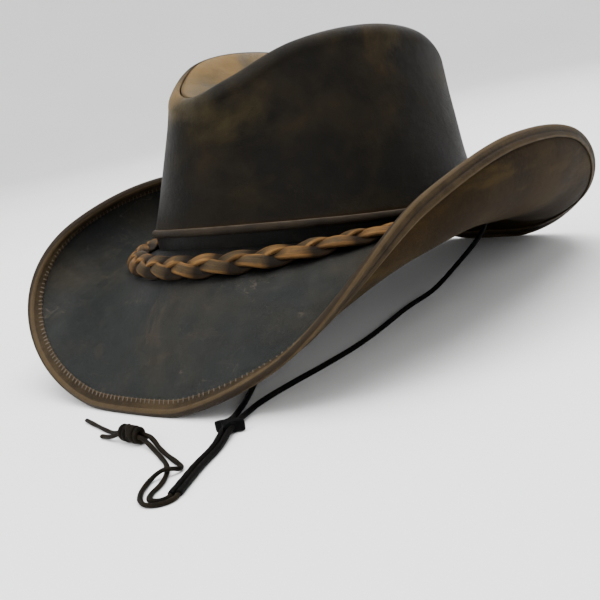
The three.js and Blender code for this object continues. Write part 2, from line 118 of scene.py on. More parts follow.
# Welt, band, brim and its strip. The wall and the band are sewn a little way into the welt, and the
# strip's lower face has a line pressed in at GROOVE from its inner edge
CLEARANCE = 0.3 * MM
WELT_DIAMETER = 4.6 * MM
SEWN_DEPTH = 0.9 * MM
BAND_HEIGHT = 10.3 * MM
BRIM_INNER_LEDGE = 3 * MM
BRIM_STEPS = 8
BINDING_WALL = 1.1 * MM
GROOVE = 3.1 * MM
GROOVE_DEPTH = 0.42 * MM
EDGE_EASE = 0.35 * MM
PLAIT_INSET = 5.4 * MM

# Where the brim lies on the surface it is pressed flat this deep, and the push sets in this softly
REST_FLAT_DEPTH = 0.7 * MM
REST_EASE = 1.2 * MM

# Slots for the cord and the cord's hidden way. Bends sharper than CORD_EASE are drawn out, and
# nothing of the cord or the stitches is lower than FLOOR_GAP
CORD_HOLE_TURN = 136.0
CORD_HOLE_WIDTH = 4.6 * MM
CORD_HOLE_LENGTH = 11 * MM
CORD_INSET = 2.6 * MM
CORD_RISE = 5.1 * MM
CORD_EASE = 12 * MM
FLOOR_GAP = 0.02 * MM

# Where the crown is painted tan, for rubbed leather and painted highlight: round its front corner (both)
# and its back (rubbed), with how far in degrees, and how much at the corner, at the back, along the seam
# and along the shoulder (both painted highlight) and all over
CORNER_TURN, CORNER_REACH = -18, 30
BACK_TURN, BACK_REACH = 118, 40
CORNER_WEAR_AND_HIGHLIGHT = 0.7
BACK_WEAR = 0.14
SEAM_HIGHLIGHT = 0.12
SHOULDER_HIGHLIGHT = 0.02
BASE_WEAR = 0.1

# Shade, from 0 to 1, on the band, and on the brim under and beside the plait. The brim's lower face
# has this share of it
BAND_SHADE = 0.85
BRIM_SHADE = 0.6
BRIM_SHADE_REACH = 26 * MM
CONTACT_SHADOW_REACH = 3.6 * MM
LOWER_SHARE = 0.6

# Ridge height and shoulder radius as shares, and how far over the shoulder the top's seam lies in
# degrees, a row every 30 degrees from front to back
CROWN_ROWS = [
    {"height": 0.803, "shoulder": 1.0, "seam": 85},
    {"height": 0.866, "shoulder": 1.0, "seam": 85},
    {"height": 0.979, "shoulder": 0.85, "seam": 97},
    {"height": 1.0, "shoulder": 1.1, "seam": 114},
    {"height": 0.933, "shoulder": 1.4, "seam": 124},
    {"height": 0.79, "shoulder": 1.7, "seam": 125},
    {"height": 0.775, "shoulder": 1.8, "seam": 125},
]

# Slope of the brim in degrees at the crown, half way out and at the edge, and its width's share
BRIM_ROWS = [
    {"inner": -32, "middle": -53, "outer": -39, "width": 1.04},
    {"inner": -20, "middle": -38, "outer": 2, "width": 1.01},
    {"inner": 7, "middle": 2, "outer": 126, "width": 1.0},
    {"inner": -4, "middle": 34, "outer": 130, "width": 0.94},
    {"inner": -17, "middle": 31, "outer": 107, "width": 0.96},
    {"inner": -31, "middle": -10, "outer": 36, "width": 0.915},
    {"inner": -10, "middle": -23, "outer": -68, "width": 0.97},
]

# Chin cord routes in millimetres, as in the part's source
LEFT_STRAND = [
    [61.8, 70.4, 38.7], [64.5, 65.5, 36.7], [67.3, 60, 34.6], [69.2, 52, 31.2], [67.8, 45, 26.5],
    [63, 39.5, 20.5], [56, 35.5, 13.5], [49.5, 31.5, 7], [45.6, 25, 2.8], [44.2, 15, 1.4],
    [46.3, 0, 1.4], [51, -20, 1.4], [57, -44, 1.4], [61.5, -70, 1.4], [63.3, -96, 1.4],
    [64, -122, 1.4], [66, -146, 1.4], [70.6, -160, 1.7], [75.8, -170.2, 3.05],
]
RIGHT_STRAND = [
    [-61.8, 70.4, 38.7], [-64.5, 65.5, 36.7], [-67.2, 59.5, 34.1], [-67.5, 51, 29.9],
    [-63.5, 42.5, 23.5], [-57, 35, 15.5], [-50, 27, 7.5], [-43, 17, 2.6], [-35.5, 3, 1.4],
    [-24, -18, 1.4], [-9, -43, 1.4], [8, -69, 1.4], [24, -95, 1.4], [38, -119, 1.4],
    [50.5, -137, 1.4], [61.5, -154, 1.5], [68.2, -165, 2.2], [72.9, -171.6, 3.05],
]
LEFT_TAIL = [
    [80.1, -179.4, 3.05], [83.8, -186.3, 1.9], [87.7, -194, 1.4], [93.5, -208.3, 1.4],
    [100, -221.4, 1.4], [105, -231.3, 1.4],
]
RIGHT_TAIL = [
    [77.2, -180.8, 3.05], [80.9, -187.6, 1.9], [84.8, -195.3, 1.4], [90.5, -209.7, 1.4],
    [97.1, -222.8, 1.4], [102, -232.8, 1.4],
]
LOOP_LACE = [
    [105.15, -231.62, 1.2], [106, -235, 1.05], [105, -238.9, 1.05], [102.2, -241.7, 1.05],
    [98.3, -242.7, 1.05], [93.2, -240.8, 1.05], [88.2, -236.5, 1.05], [84.3, -231.2, 1.05],
    [81.7, -225.6, 1.4], [82.6, -222.6, 2.7], [84.3, -220.2, 3.5], [85.9, -217.6, 2.9],
    [86.3, -214.6, 1.6], [84.3, -211.8, 1.05], [79.5, -209.6, 1.05], [73, -207, 1.05],
    [65.5, -204, 1.05], [57, -200.2, 1.3], [50, -197.1, 2.6], [44.8, -195.8, 3.8],
]
STRAIGHT_LACE = [
    [102.15, -233.12, 1.2], [102.6, -235, 1.05], [101.6, -237.8, 1.05], [98.3, -239.3, 1.05],
    [95.5, -238.2, 1.05], [92.4, -234.2, 1.05], [90.3, -229, 1.05], [87.2, -223.6, 1.05],
    [82, -217.6, 1.05], [75, -212, 1.05], [66.6, -207.6, 1.05], [58.1, -203.6, 1.3],
    [50.4, -200.6, 2.6], [44.8, -199.2, 3.8],
]
LONG_END = [
    [27.2, -195.4, 4], [22, -194.5, 2.4], [14.5, -193, 1.05], [0, -189.5, 1.05],
    [-16.4, -184.9, 1.05],
]
SHORT_END = [
    [27.2, -198.6, 3.8], [22.2, -198.8, 2.2], [12.8, -197.8, 1.05],
]
SLIDE_CENTRE = (76.5, -175.5, 3.05)
SLIDE_TURN = -64.7
KNOT_CENTRE = (36, -197.2, 4.3)
KNOT_TURN = -3.0


def length(name, default, description):
    """Size property in metres."""
    return FloatProperty(name=name, default=default, unit="LENGTH", description=description)


def colour(name, default, description):
    """Colour property in linear light."""
    return FloatVectorProperty(name=name, default=default, subtype="COLOR", min=0, max=1,
                               description=description)


class HatForm(bpy.types.PropertyGroup):
    foot_half_length: length("Foot half length", 104 * MM, "Half length of the crown's foot")
    foot_half_width: length("Foot half width", 86 * MM, "Half width of the crown's foot")
    foot_height: length("Foot height", 61.4 * MM, "Height of the foot over the surface")
    crown_height: length("Crown height", 98 * MM, "Highest ridge over the foot")
    ridge_half_length: length("Ridge half length", 86 * MM, "Half length of the ridge")
    ridge_half_width: length("Ridge half width", 47 * MM, "Half width of the ridge")
    brim_width: length("Brim width", 86.4 * MM, "Width of the brim from foot to edge")
    leather: length("Leather", 2 * MM, "Thickness of the leather")


class HatTrim(bpy.types.PropertyGroup):
    binding_reach: length("Binding reach", 6 * MM, "How far the strip reaches over the brim")
    stitch_pitch: length("Stitch pitch", 3.3 * MM, "Distance between edge stitches")
    stitch_length: length("Stitch length", 3 * MM, "Length of one edge stitch")
    plait_width: length("Plait width", 14 * MM, "Width of the plaited band")
    plait_thickness: length("Plait thickness", 5.6 * MM, "Thickness of the plaited band")
    plait_repeats: IntProperty(name="Plait repeats", default=11, min=4, max=30,
                               description="Full waves of each strand round the hat")
    strap_width: length("Strap width", 7 * MM, "Width of one strand of the plait")
    strap_thickness: length("Strap thickness", 2.5 * MM, "Thickness of one strand")


class HatCord(bpy.types.PropertyGroup):
    cord_diameter: length("Cord diameter", 2.8 * MM, "Diameter of the braided cord")
    lace_diameter: length("Lace diameter", 2.1 * MM, "Diameter of the thin laces")
    slide_reach: length("Slide reach", 7 * MM, "Reach of the slide's arms")
    slide_waist: length("Slide waist", 4.4 * MM, "Radius of the slide between its arms")
    slide_thickness: length("Slide thickness", 5.4 * MM, "Thickness of the slide")
    knot_length: length("Knot length", 17 * MM, "Length of the end knot")
    knot_diameter: length("Knot diameter", 8 * MM, "Diameter of the end knot")


class HatColours(bpy.types.PropertyGroup):
    crown_dark: colour("Crown dark", (0.0036, 0.0029, 0.002), "Oiled crown leather in its darkest parts")
    crown_brown: colour("Crown brown", (0.011, 0.0078, 0.0036), "Brown mottling of the crown")
    crown_olive: colour("Crown olive", (0.026, 0.0195, 0.0072), "Olive patches of the crown")
    # The crown's tan stands for rubbed leather, and also for painted highlight on the shoulder, the seam,
    # the front corner and the top
    crown_tan: colour("Crown tan", (0.135, 0.08, 0.024), "Wear at the front corner and on the top")
    brim_slate: colour("Brim slate", (0.01, 0.0114, 0.0106), "Grey of the brim's upper face")
    brim_brown: colour("Brim brown", (0.0175, 0.015, 0.0108), "Brown mottling of the brim")
    underside: colour("Underside", (0.0185, 0.0098, 0.0014), "Suede brown under the brim")
    binding: colour("Binding", (0.036, 0.0245, 0.0125), "Strip round the brim's edge")
    stitch: colour("Stitch", (0.055, 0.035, 0.0165), "Waxed thread")
    plait_tan: colour("Plait tan", (0.17, 0.088, 0.029), "Tan lobes and edges of the plait")
    plait_grey: colour("Plait grey", (0.05, 0.034, 0.017), "Grey brown faces of the plait")
    cord_black: colour("Cord black", (0.0018, 0.0015, 0.0013), "Braided cord")
    lace_brown: colour("Lace brown", (0.006, 0.0042, 0.0022), "Thin laces and knot")
    slide_black: colour("Slide black", (0.0012, 0.0012, 0.0013), "Moulded slide")


def form():
    return bpy.context.scene.hat_form


def trim():
    return bpy.context.scene.hat_trim


def cords():
    return bpy.context.scene.hat_cord


def colours():
    return bpy.context.scene.hat_colours


def row_value(rows, column, turn):
    """A table's column at each turn, eased between its rows as one smooth curve (Catmull-Rom)."""
    values = np.array([row[column] for row in rows], float)
    last = len(rows) - 1
    along = np.abs((turn + 180) % 360 - 180) / (180 / last)
    row = np.minimum(np.floor(along).astype(int), last - 1)
    f = along - row

    def value(i):
        return values[np.where(i < 0, -i, np.where(i > last, 2 * last - i, i))]

    a, b, c, d = value(row - 1), value(row), value(row + 1), value(row + 2)
    return b + 0.5 * f * (c - a + f * (2 * a - 5 * b + 4 * c - d + f * (3 * (b - c) + d - a)))


def stack(x, y, z):
    return np.stack(np.broadcast_arrays(x, y, z), -1)


def foot(turn):
    """Crown foot: an oval that rises to the front and sags at the sides."""
    t = np.radians(turn)
    f = form()
    height = f.foot_height + FOOT_TILT * np.cos(t) - FOOT_SAG * np.sin(t) ** 2
    return stack(f.foot_half_width * np.sin(t), FOOT_CENTRE_Y - f.foot_half_length * np.cos(t), height)


def foot_outward(turn):
    """Level direction square to the foot's oval."""
    t = np.radians(turn)
    f = form()
    x, y = f.foot_half_length * np.sin(t), -f.foot_half_width * np.cos(t)
    size = np.hypot(x, y)
    return stack(x / size, y / size, 0.0)


def brim_slope(turn, share):
    """Slope across the brim: the parabola through the inner, middle and outer slopes."""
    inner, middle, outer = (row_value(BRIM_ROWS, c, turn) for c in ("inner", "middle", "outer"))
    s = np.maximum(share, 0)
    return np.radians(inner * (1 - s) * (1 - 2 * s) + 4 * middle * s * (1 - s) + outer * s * (2 * s - 1))


def brim_walk(turn, distance):
    """Steps outwards from the foot along the slope: the distance out, up, the slope and the width."""
    width = form().brim_width * row_value(BRIM_ROWS, "width", turn)
    step = distance / BRIM_STEPS
    out = 0 * width * step
    up = out - BAND_HEIGHT
    for i in range(BRIM_STEPS):
        slope = brim_slope(turn, (i + 0.5) * step / width)
        out = out + step * np.cos(slope)
        up = up + step * np.sin(slope)
    return out, up, brim_slope(turn, distance / width), width


def rest_lift(turn):
    """How far the surface pushes the brim's edge up: the push sets in softly."""
    width = form().brim_width * row_value(BRIM_ROWS, "width", turn)
    up = brim_walk(turn, width)[1]
    half = form().leather / 2 + CLEARANCE + BINDING_WALL
    reach = half - REST_FLAT_DEPTH - foot(turn)[..., 2] - up
    return (reach + np.hypot(reach, REST_EASE)) / 2


def brim_point(turn, distance, over=0.0):
    """Point of the brim by turn, distance from the foot and height over the leather's middle."""
    turn, distance, over = np.broadcast_arrays(turn, distance, over)
    out, up, slope, width = brim_walk(turn, distance)
    share = np.clip(distance / width, 0, 1)
    out = out - over * np.sin(slope)
    up = up + over * np.cos(slope) + rest_lift(turn) * share**2
    outward = foot_outward(turn)
    place = foot(turn) + outward * out[..., None]
    place[..., 2] += up
    return place


def ridge(turn):
    """Ridge of the crown: an egg shape, narrow to the front."""
    t = np.radians(turn)
    f = form()
    pinch = 1 - RIDGE_PINCH * np.cos(t)
    height = f.foot_height + f.crown_height * row_value(CROWN_ROWS, "height", turn)
    y = FOOT_CENTRE_Y + CROWN_LEAN - f.ridge_half_length * np.cos(t)
    return stack(f.ridge_half_width * np.sin(t) * pinch, y, height)


def ridge_outward(turn):
    along = ridge(turn + 0.5) - ridge(turn - 0.5)
    size = np.hypot(along[..., 0], along[..., 1])
    return stack(along[..., 1] / size, -along[..., 0] / size, 0.0)


def shoulder(turn, angle):
    """Rolled shoulder: an arc by its angle over the outermost line."""
    radius = SHOULDER_RADIUS * row_value(CROWN_ROWS, "shoulder", turn)
    a = np.radians(angle)
    place = ridge(turn) + ridge_outward(turn) * (radius * np.cos(a))[..., None]
    place[..., 2] += radius * (np.sin(a) - 1)
    return place


def shoulder_angle(turn, share):
    """Angle over the shoulder by the share of the way from the wall to the seam."""
    return SHOULDER_START + share * (row_value(CROWN_ROWS, "seam", turn) - SHOULDER_START)


def crown_wall(turn, share):
    """Crown wall: a straight line from the welt to the shoulder, drawn in a little half way up."""
    outward = foot_outward(turn)
    low = foot(turn) - outward * form().leather / 2
    low[..., 2] += WELT_DIAMETER / 2 - SEWN_DEPTH
    high = shoulder(turn, np.full_like(turn, SHOULDER_START))
    waist = WALL_WAIST * np.sin(np.pi * share)
    return low + (high - low) * share[..., None] - outward * waist[..., None]


def crown_top(turn, share):
    """Sunk top: it leaves its seam level, falls, and is flat along its middle."""
    f = form()
    angle = shoulder_angle(turn, 1.0)
    seam = shoulder(turn, angle) - ridge_outward(turn) * (SEAM_GAP * np.sin(np.radians(angle)))[..., None]
    seam[..., 2] += SEAM_GAP * np.cos(np.radians(angle))
    floor = f.foot_height + f.crown_height - DENT_DEPTH
    rise = share**DENT_FLATNESS
    rise = rise**2 * (3 - 2 * rise)
    x = seam[..., 0] * share
    y = (FOOT_CENTRE_Y + DENT_CENTRE_Y) * (1 - share) + seam[..., 1] * share
    return stack(x, y, floor + (seam[..., 2] - floor) * rise)


# Meshes

def bell(distance, reach):
    """Bell curve: 1 at no distance, and next to nothing past twice the reach."""
    return np.exp(-((distance / reach) ** 2))


def turn_from(turn, middle):
    """Degrees from a middle turn, from -180 to 180."""
    return (turn - middle + 180) % 360 - 180


def soft_waves(turn, share, seed, waves=5):
    """Sum of a few slow waves round and across a piece, from about -1 to 1."""
    rng = np.random.default_rng(seed)
    total = 0 * turn * share
    for i in range(1, waves + 1):
        phase = rng.uniform(0, 2 * np.pi, 2)
        total = total + np.sin(np.radians(turn) * i + phase[0]) * np.cos(2.2 * i * share + phase[1]) / i
    return total / 1.6


def put_mesh(name, points, faces, attributes=None, smooth=True):
    """Object from points and faces, turned outwards by the sign of its volume, with point attributes."""
    faces = [np.asarray(f) for f in faces]
    volume = 0.0
    for f in faces:
        a, b = points[f[:, 0]], points[f[:, 1]]
        for k in range(2, f.shape[1]):
            volume += np.einsum("ij,ij->i", a, np.cross(points[f[:, k - 1]], points[f[:, k]])).sum()
    if volume < 0:
        faces = [f[:, ::-1] for f in faces]
    mesh = bpy.data.meshes.new(name)
    mesh.from_pydata(points.tolist(), [], [row for f in faces for row in f.tolist()])
    mesh.polygons.foreach_set("use_smooth", np.full(len(mesh.polygons), smooth))
    for key, values in (attributes or {}).items():
        layer = mesh.attributes.new(key, "FLOAT", "POINT")
        spread = np.broadcast_to(values, len(points))
        layer.data.foreach_set("value", np.ascontiguousarray(spread, np.float32))
    mesh.validate()
    obj = bpy.data.objects.new(name, mesh)
    bpy.context.scene.collection.objects.link(obj)
    return obj


def grid_faces(rows, columns, close_rows=True, close_columns=True):
    """Four-sided faces of a grid of points, closed round either way."""
    r = np.arange(rows if close_rows else rows - 1)
    c = np.arange(columns if close_columns else columns - 1)
    i, j = np.meshgrid(r, c, indexing="ij")
    i2, j2 = (i + 1) % rows, (j + 1) % columns
    quad = np.stack([i * columns + j, i * columns + j2, i2 * columns + j2, i2 * columns + j], -1)
    return quad.reshape(-1, 4)


def loop_mesh(name, sections, attributes=None, smooth=True):
    """Closed body from closed sections round a loop: sections is an array of (station, corner, 3)."""
    rows, columns = sections.shape[:2]
    flat = {k: np.broadcast_to(v, (rows, columns)).ravel() for k, v in (attributes or {}).items()}
    return put_mesh(name, sections.reshape(-1, 3), [grid_faces(rows, columns)], flat, smooth)


def end_fans(rows, columns):
    """Three-sided faces from a grid's first and last section to two middle points, which come after
    the grid's points."""
    j = np.arange(columns)
    after = (j + 1) % columns
    end = (rows - 1) * columns
    first = np.stack([np.full(columns, rows * columns), after, j], -1)
    last = np.stack([np.full(columns, rows * columns + 1), end + j, end + after], -1)
    return np.concatenate([first, last])


def rod_points(sections):
    """Points of sections along a line, followed by the middles of the first and the last."""
    return np.concatenate([sections.reshape(-1, 3), sections[0].mean(0)[None], sections[-1].mean(0)[None]])


def rod_mesh(name, sections):
    """Closed body from closed sections along a line, with a fan at each end."""
    rows, columns = sections.shape[:2]
    faces = [grid_faces(rows, columns, close_rows=False), end_fans(rows, columns)]
    return put_mesh(name, rod_points(sections), faces)


def surface_normals(middle):
    """Normals of a grid of points that is closed round its first way."""
    around = np.roll(middle, -1, 0) - np.roll(middle, 1, 0)
    across = np.gradient(middle, axis=1)
    normal = np.cross(around, across)
    return normal / np.linalg.norm(normal, axis=-1)[..., None]


def wall_sections(middle, thickness):
    """Both faces of a wall and its eased edges, from the grid of its middle: each edge is half an
    ellipse, EDGE_EASE deep."""
    normal = surface_normals(middle)
    half = thickness / 2
    front = middle + normal * half
    back = middle - normal * half
    angles = np.radians((60, 20, -20, -60))
    edges = []
    for at, inward, sign in ((-1, -2, 1), (0, 1, -1)):
        ahead = middle[:, at] - middle[:, inward]
        ahead = ahead / np.linalg.norm(ahead, axis=-1)[..., None]
        rise = sign * half * normal[:, at]
        arc = [middle[:, at] + ahead * EDGE_EASE * (math.cos(a) - 1) + rise * math.sin(a) for a in angles]
        edges.append(np.stack(arc, 1))
        for side in (front, back):
            side[:, at] -= ahead * EDGE_EASE
    return np.concatenate([front, edges[0], back[:, ::-1], edges[1]], 1)


def across_sections(values):
    """A value of the wall's middle grid, spread to the corners that wall_sections makes."""
    first, last = values[:, :1], values[:, -1:]
    return np.concatenate([values, last.repeat(4, 1), values[:, ::-1], first.repeat(4, 1)], 1)


def finish_piece(obj, material, nodes=()):
    """Gives a piece its material and slot, and lets it ride and stand for its nodes."""
    obj.data.materials.clear()
    obj.data.materials.append(material)
    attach(obj, BODY)
    if nodes:
        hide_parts(*nodes)
    return obj


# Materials

# Colours of wear, dirt, painted shade, painted shadow and painted highlight, in linear light
# Olive in the crown's tan, for rubbed leather and for painted highlight
OLIVE_WEAR_AND_HIGHLIGHT = (0.05, 0.044, 0.027)
CROWN_SCUFF = (0.07, 0.052, 0.033)
CROWN_SEAM = (0.022, 0.0125, 0.005)
BRIM_CLOUD = (0.0075, 0.0085, 0.0085)
BRIM_SCRATCH = (0.075, 0.058, 0.042)
BRIM_SMUDGE = (0.034, 0.024, 0.0155)
# Painted shade and painted contact shadow on the brim and the band beside the plait
BRIM_SHADE_COLOUR = (0.005, 0.0045, 0.004)
BRIM_CONTACT_SHADOW = (0.001, 0.0009, 0.0008)
# Pale streaks under the brim: painted highlights of creases
UNDERSIDE_CREASE_HIGHLIGHT = (0.033, 0.021, 0.0042)
# Darker along the strip's pressed line, and painted shade on its faces that lie against the brim
STRIP_GROOVE_AND_SHADE = (0.012, 0.009, 0.007)
# The welt's light tone is a painted highlight along its top
WELT_TONES = {"main": (0.02, 0.015, 0.01), "dark": (0.009, 0.007, 0.0052), "light": (0.085, 0.064, 0.045)}
PLAIT_RIM = (0.03, 0.015, 0.006)
# Painted shade where the plait's strands dip under each other
PLAIT_GAP_SHADE = (0.004, 0.0025, 0.0015)
FLOOR_DARK = (0.86, 0.86, 0.86)
FLOOR_PALE = (0.88, 0.88, 0.88)


def toned(colour_value, factor):
    """Colour made darker or brighter by a factor."""
    return tuple(factor * v for v in colour_value)


class Shader:
    """Node tree of one material, with a short call for each kind of node."""

    def __init__(self, name):
        self.material = bpy.data.materials.new(name)
        self.material.use_nodes = True
        self.tree = self.material.node_tree
        self.tree.nodes.clear()
        self.output = self.tree.nodes.new("ShaderNodeOutputMaterial")

    def node(self, kind, inputs=None, **settings):
        made = self.tree.nodes.new(kind)
        for key, value in settings.items():
            setattr(made, key, value)
        for key, value in (inputs or {}).items():
            self.set(made.inputs[key], value)
        return made

    def set(self, socket, value):
        if isinstance(value, bpy.types.NodeSocket):
            self.tree.links.new(value, socket)
        elif socket.type == "RGBA" and len(value) == 3:
            socket.default_value = (*value, 1)
        else:
            socket.default_value = value

    def place(self, scale=(1, 1, 1), turn=(0, 0, 0)):
        """Place on the object, stretched and turned by degrees."""
        coordinates = self.node("ShaderNodeTexCoord").outputs["Object"]
        angles = tuple(math.radians(a) for a in turn)
        return self.node("ShaderNodeMapping", {"Vector": coordinates, "Rotation": angles,
                                               "Scale": scale}).outputs["Vector"]

    def noise(self, scale, detail=4.0, roughness=0.55, vector=None, distortion=0.0):
        inputs = {"Scale": scale, "Detail": detail, "Roughness": roughness, "Distortion": distortion}
        inputs["Vector"] = vector or self.place()
        return self.node("ShaderNodeTexNoise", inputs).outputs["Fac"]

    def cells(self, scale):
        """Distance to the edge of the nearest of many small cells."""
        inputs = {"Scale": scale, "Vector": self.place()}
        return self.node("ShaderNodeTexVoronoi", inputs, feature="DISTANCE_TO_EDGE").outputs["Distance"]

    def attribute(self, name):
        return self.node("ShaderNodeAttribute", attribute_name=name).outputs["Fac"]

    def math(self, operation, a, b=0.0):
        return self.node("ShaderNodeMath", {0: a, 1: b}, operation=operation).outputs[0]

    def times(self, a, b):
        return self.math("MULTIPLY", a, b)

    def plus(self, a, b):
        return self.math("ADD", a, b)

    def blend(self, a, b, share):
        """Share of a value and the rest of another."""
        return self.plus(self.times(a, share), self.times(b, 1 - share))

    def swing(self, value, gain):
        """How far a noise lies from its middle, times a gain."""
        return self.times(self.math("SUBTRACT", value, 0.5), gain)

    def fit(self, value, low, high, to_low=0.0, to_high=1.0):
        """Value mapped smoothly from low..high to another range."""
        inputs = {"Value": value, "From Min": low, "From Max": high, "To Min": to_low, "To Max": to_high}
        return self.node("ShaderNodeMapRange", inputs, interpolation_type="SMOOTHSTEP").outputs[0]

    def mix(self, factor, a, b):
        made = self.node("ShaderNodeMix", data_type="RGBA")
        self.set(made.inputs[0], factor)
        self.set(made.inputs[6], a)
        self.set(made.inputs[7], b)
        return made.outputs[2]

    def bump(self, height, distance, strength=1.0, normal=None):
        inputs = {"Height": height, "Distance": distance, "Strength": strength}
        if normal:
            inputs["Normal"] = normal
        return self.node("ShaderNodeBump", inputs).outputs[0]

    def scratches(self, scale, turn, width):
        """Fine lines where a long stretched noise crosses its middle."""
        lines = self.noise(1.0, 2.0, 0.5, self.place(scale, turn))
        return self.fit(self.math("ABSOLUTE", self.math("SUBTRACT", lines, 0.5)), 0.0, width, 1.0, 0.0)

    def scuffs(self, first, second, patch_scale, low, high):
        """Two sets of scratches, only where a slow noise is high."""
        lines = self.math("MAXIMUM", self.scratches(*first), self.scratches(*second))
        return self.times(lines, self.fit(self.noise(patch_scale, 3.0), low, high))

    def surface(self, colour_socket, roughness, normal=None, specular=0.5):
        inputs = {"Base Color": colour_socket, "Roughness": roughness, "Specular IOR Level": specular}
        if normal:
            inputs["Normal"] = normal
        shader = self.node("ShaderNodeBsdfPrincipled", inputs)
        self.tree.links.new(shader.outputs[0], self.output.inputs["Surface"])
        return self.material


def made_once(maker):
    """Material of one of the functions below, made at the first call and found again later."""
    return bpy.data.materials.get("hat_" + maker.__name__) or maker()


def leather_bump(s, depth=0.00016, pore_scale=1500.0):
    """Grain of small pebbles, broken by a slow noise, with fine pores on it and creases over all."""
    grain = s.fit(s.cells(pore_scale * 0.55), 0.0, 0.09)
    broken = s.fit(s.noise(90.0, 5.0, 0.6), 0.35, 0.7, 0.25, 1.0)
    pores = s.noise(pore_scale * 1.6, 3.0, 0.6)
    height = s.plus(s.times(grain, broken), s.times(pores, 0.9))
    creases = s.noise(260.0, 6.0, 0.65)
    return s.bump(creases, depth * 3.2, 0.6, s.bump(height, depth))


def crown_leather():
    """Oiled leather: near black with brown and olive clouds, with pale scuffs, tan where it is rubbed and
    as a painted highlight on the shoulder, the seam, the front corner and the top, and with painted shade
    towards the foot.
    """
    c = colours()
    s = Shader("hat_crown_leather")
    cloud = s.noise(19.0, 7.0, 0.62, distortion=0.7)
    fine = s.noise(85.0, 6.0, 0.65)
    base = s.mix(s.fit(s.blend(cloud, fine, 0.7), 0.42, 0.64), c.crown_dark, c.crown_brown)
    patches = s.noise(13.0, 5.0, 0.6, s.place((1, 1, 1.4), (30, 10, 0)), 0.5)
    base = s.mix(s.fit(patches, 0.52, 0.7, 0.0, 0.75), base, c.crown_olive)
    base = s.mix(s.times(s.attribute("shade"), 0.7), base, toned(c.crown_dark, 0.8))
    # Tan, olive in places, where the crown is rubbed and where a highlight is painted: along the shoulder
    # and the seam, round the front corner and over the top
    ragged = s.plus(s.plus(s.attribute("wear_and_highlight"), s.swing(fine, 0.5)), s.swing(cloud, 0.9))
    rubbed = s.mix(s.fit(patches, 0.4, 0.62), c.crown_tan, OLIVE_WEAR_AND_HIGHLIGHT)
    base = s.mix(s.fit(ragged, 0.22, 0.95), base, rubbed)
    scuffs = s.scuffs(((40, 240, 90), (20, 35, 50), 0.0035), ((210, 50, 60), (0, 50, 15), 0.003),
                      28.0, 0.5, 0.68)
    base = s.mix(s.times(scuffs, 0.4), base, CROWN_SCUFF)
    base = s.mix(s.times(s.attribute("seam"), 0.6), base, CROWN_SEAM)
    return s.surface(base, s.fit(cloud, 0.35, 0.7, 0.4, 0.56), leather_bump(s), 0.05)


def brim_leather():
    """Slate grey above with brown clouds, smudges and short pale scratches, suede brown below with pale
    streaks, painted highlights of creases. The attribute shade paints shade by the plait, and a contact
    shadow where they touch."""
    c = colours()
    s = Shader("hat_brim_leather")
    cloud = s.noise(13.0, 6.0, 0.6, distortion=0.8)
    fine = s.noise(60.0, 6.0, 0.7)
    top = s.mix(s.fit(s.blend(cloud, fine, 0.7), 0.45, 0.66), c.brim_slate, c.brim_brown)
    top = s.mix(s.fit(s.noise(21.0, 4.0, 0.6), 0.36, 0.52, 0.5, 0.0), top, BRIM_CLOUD)
    scuffs = s.scuffs(((25, 160, 50), (0, 0, 35), 0.0055), ((120, 22, 50), (0, 0, 70), 0.005),
                      34.0, 0.47, 0.6)
    top = s.mix(s.times(scuffs, 0.45), top, BRIM_SCRATCH)
    smudges = s.fit(s.noise(26.0, 6.0, 0.7, distortion=1.2), 0.56, 0.7, 0.0, 0.4)
    top = s.mix(smudges, top, BRIM_SMUDGE)
    shade = s.attribute("shade")
    # Painted shade by the plait, and a painted contact shadow where brim and plait touch
    top = s.mix(s.times(shade, 0.75), top, BRIM_SHADE_COLOUR)
    top = s.mix(s.fit(shade, BRIM_SHADE, 1.0, 0.0, 0.9), top, BRIM_CONTACT_SHADOW)
    suede = s.noise(420.0, 4.0, 0.7)
    slow = s.noise(16.0, 5.0, 0.6, distortion=0.5)
    # Pale streaks: painted highlights of creases in the suede
    crease_highlights = s.noise(1.0, 5.0, 0.65, s.place((14, 14, 90), (0, 25, 0)))
    below = s.mix(s.fit(slow, 0.35, 0.7), toned(c.underside, 0.4), c.underside)
    below = s.mix(s.fit(crease_highlights, 0.48, 0.72, 0.0, 0.7), below, UNDERSIDE_CREASE_HIGHLIGHT)
    below = s.mix(s.fit(suede, 0.4, 0.75, 0.0, 0.25), below, toned(c.underside, 1.8))
    under = s.attribute("under")
    return s.surface(s.mix(under, top, below), s.fit(under, 0.0, 1.0, 0.46, 0.8), leather_bump(s), 0.08)


def trim_leather(name, main, dark, light):
    """Strip leather: main colour with darker clouds, paler where its attribute for rubbing and painted
    highlight is high; on the welt that is a painted highlight along its top.
    """
    s = Shader(name)
    cloud = s.noise(45.0, 6.0, 0.65)
    base = s.mix(s.fit(cloud, 0.35, 0.65), dark, main)
    ragged = s.plus(s.attribute("wear_and_highlight"), s.swing(s.noise(170.0, 5.0, 0.7), 0.9))
    base = s.mix(s.times(s.fit(ragged, 0.3, 1.0), 0.6), base, light)
    base = s.mix(s.times(s.attribute("seam"), 0.8), base, STRIP_GROOVE_AND_SHADE)
    return s.surface(base, s.fit(cloud, 0.3, 0.7, 0.5, 0.7), leather_bump(s, 0.00012), 0.05)


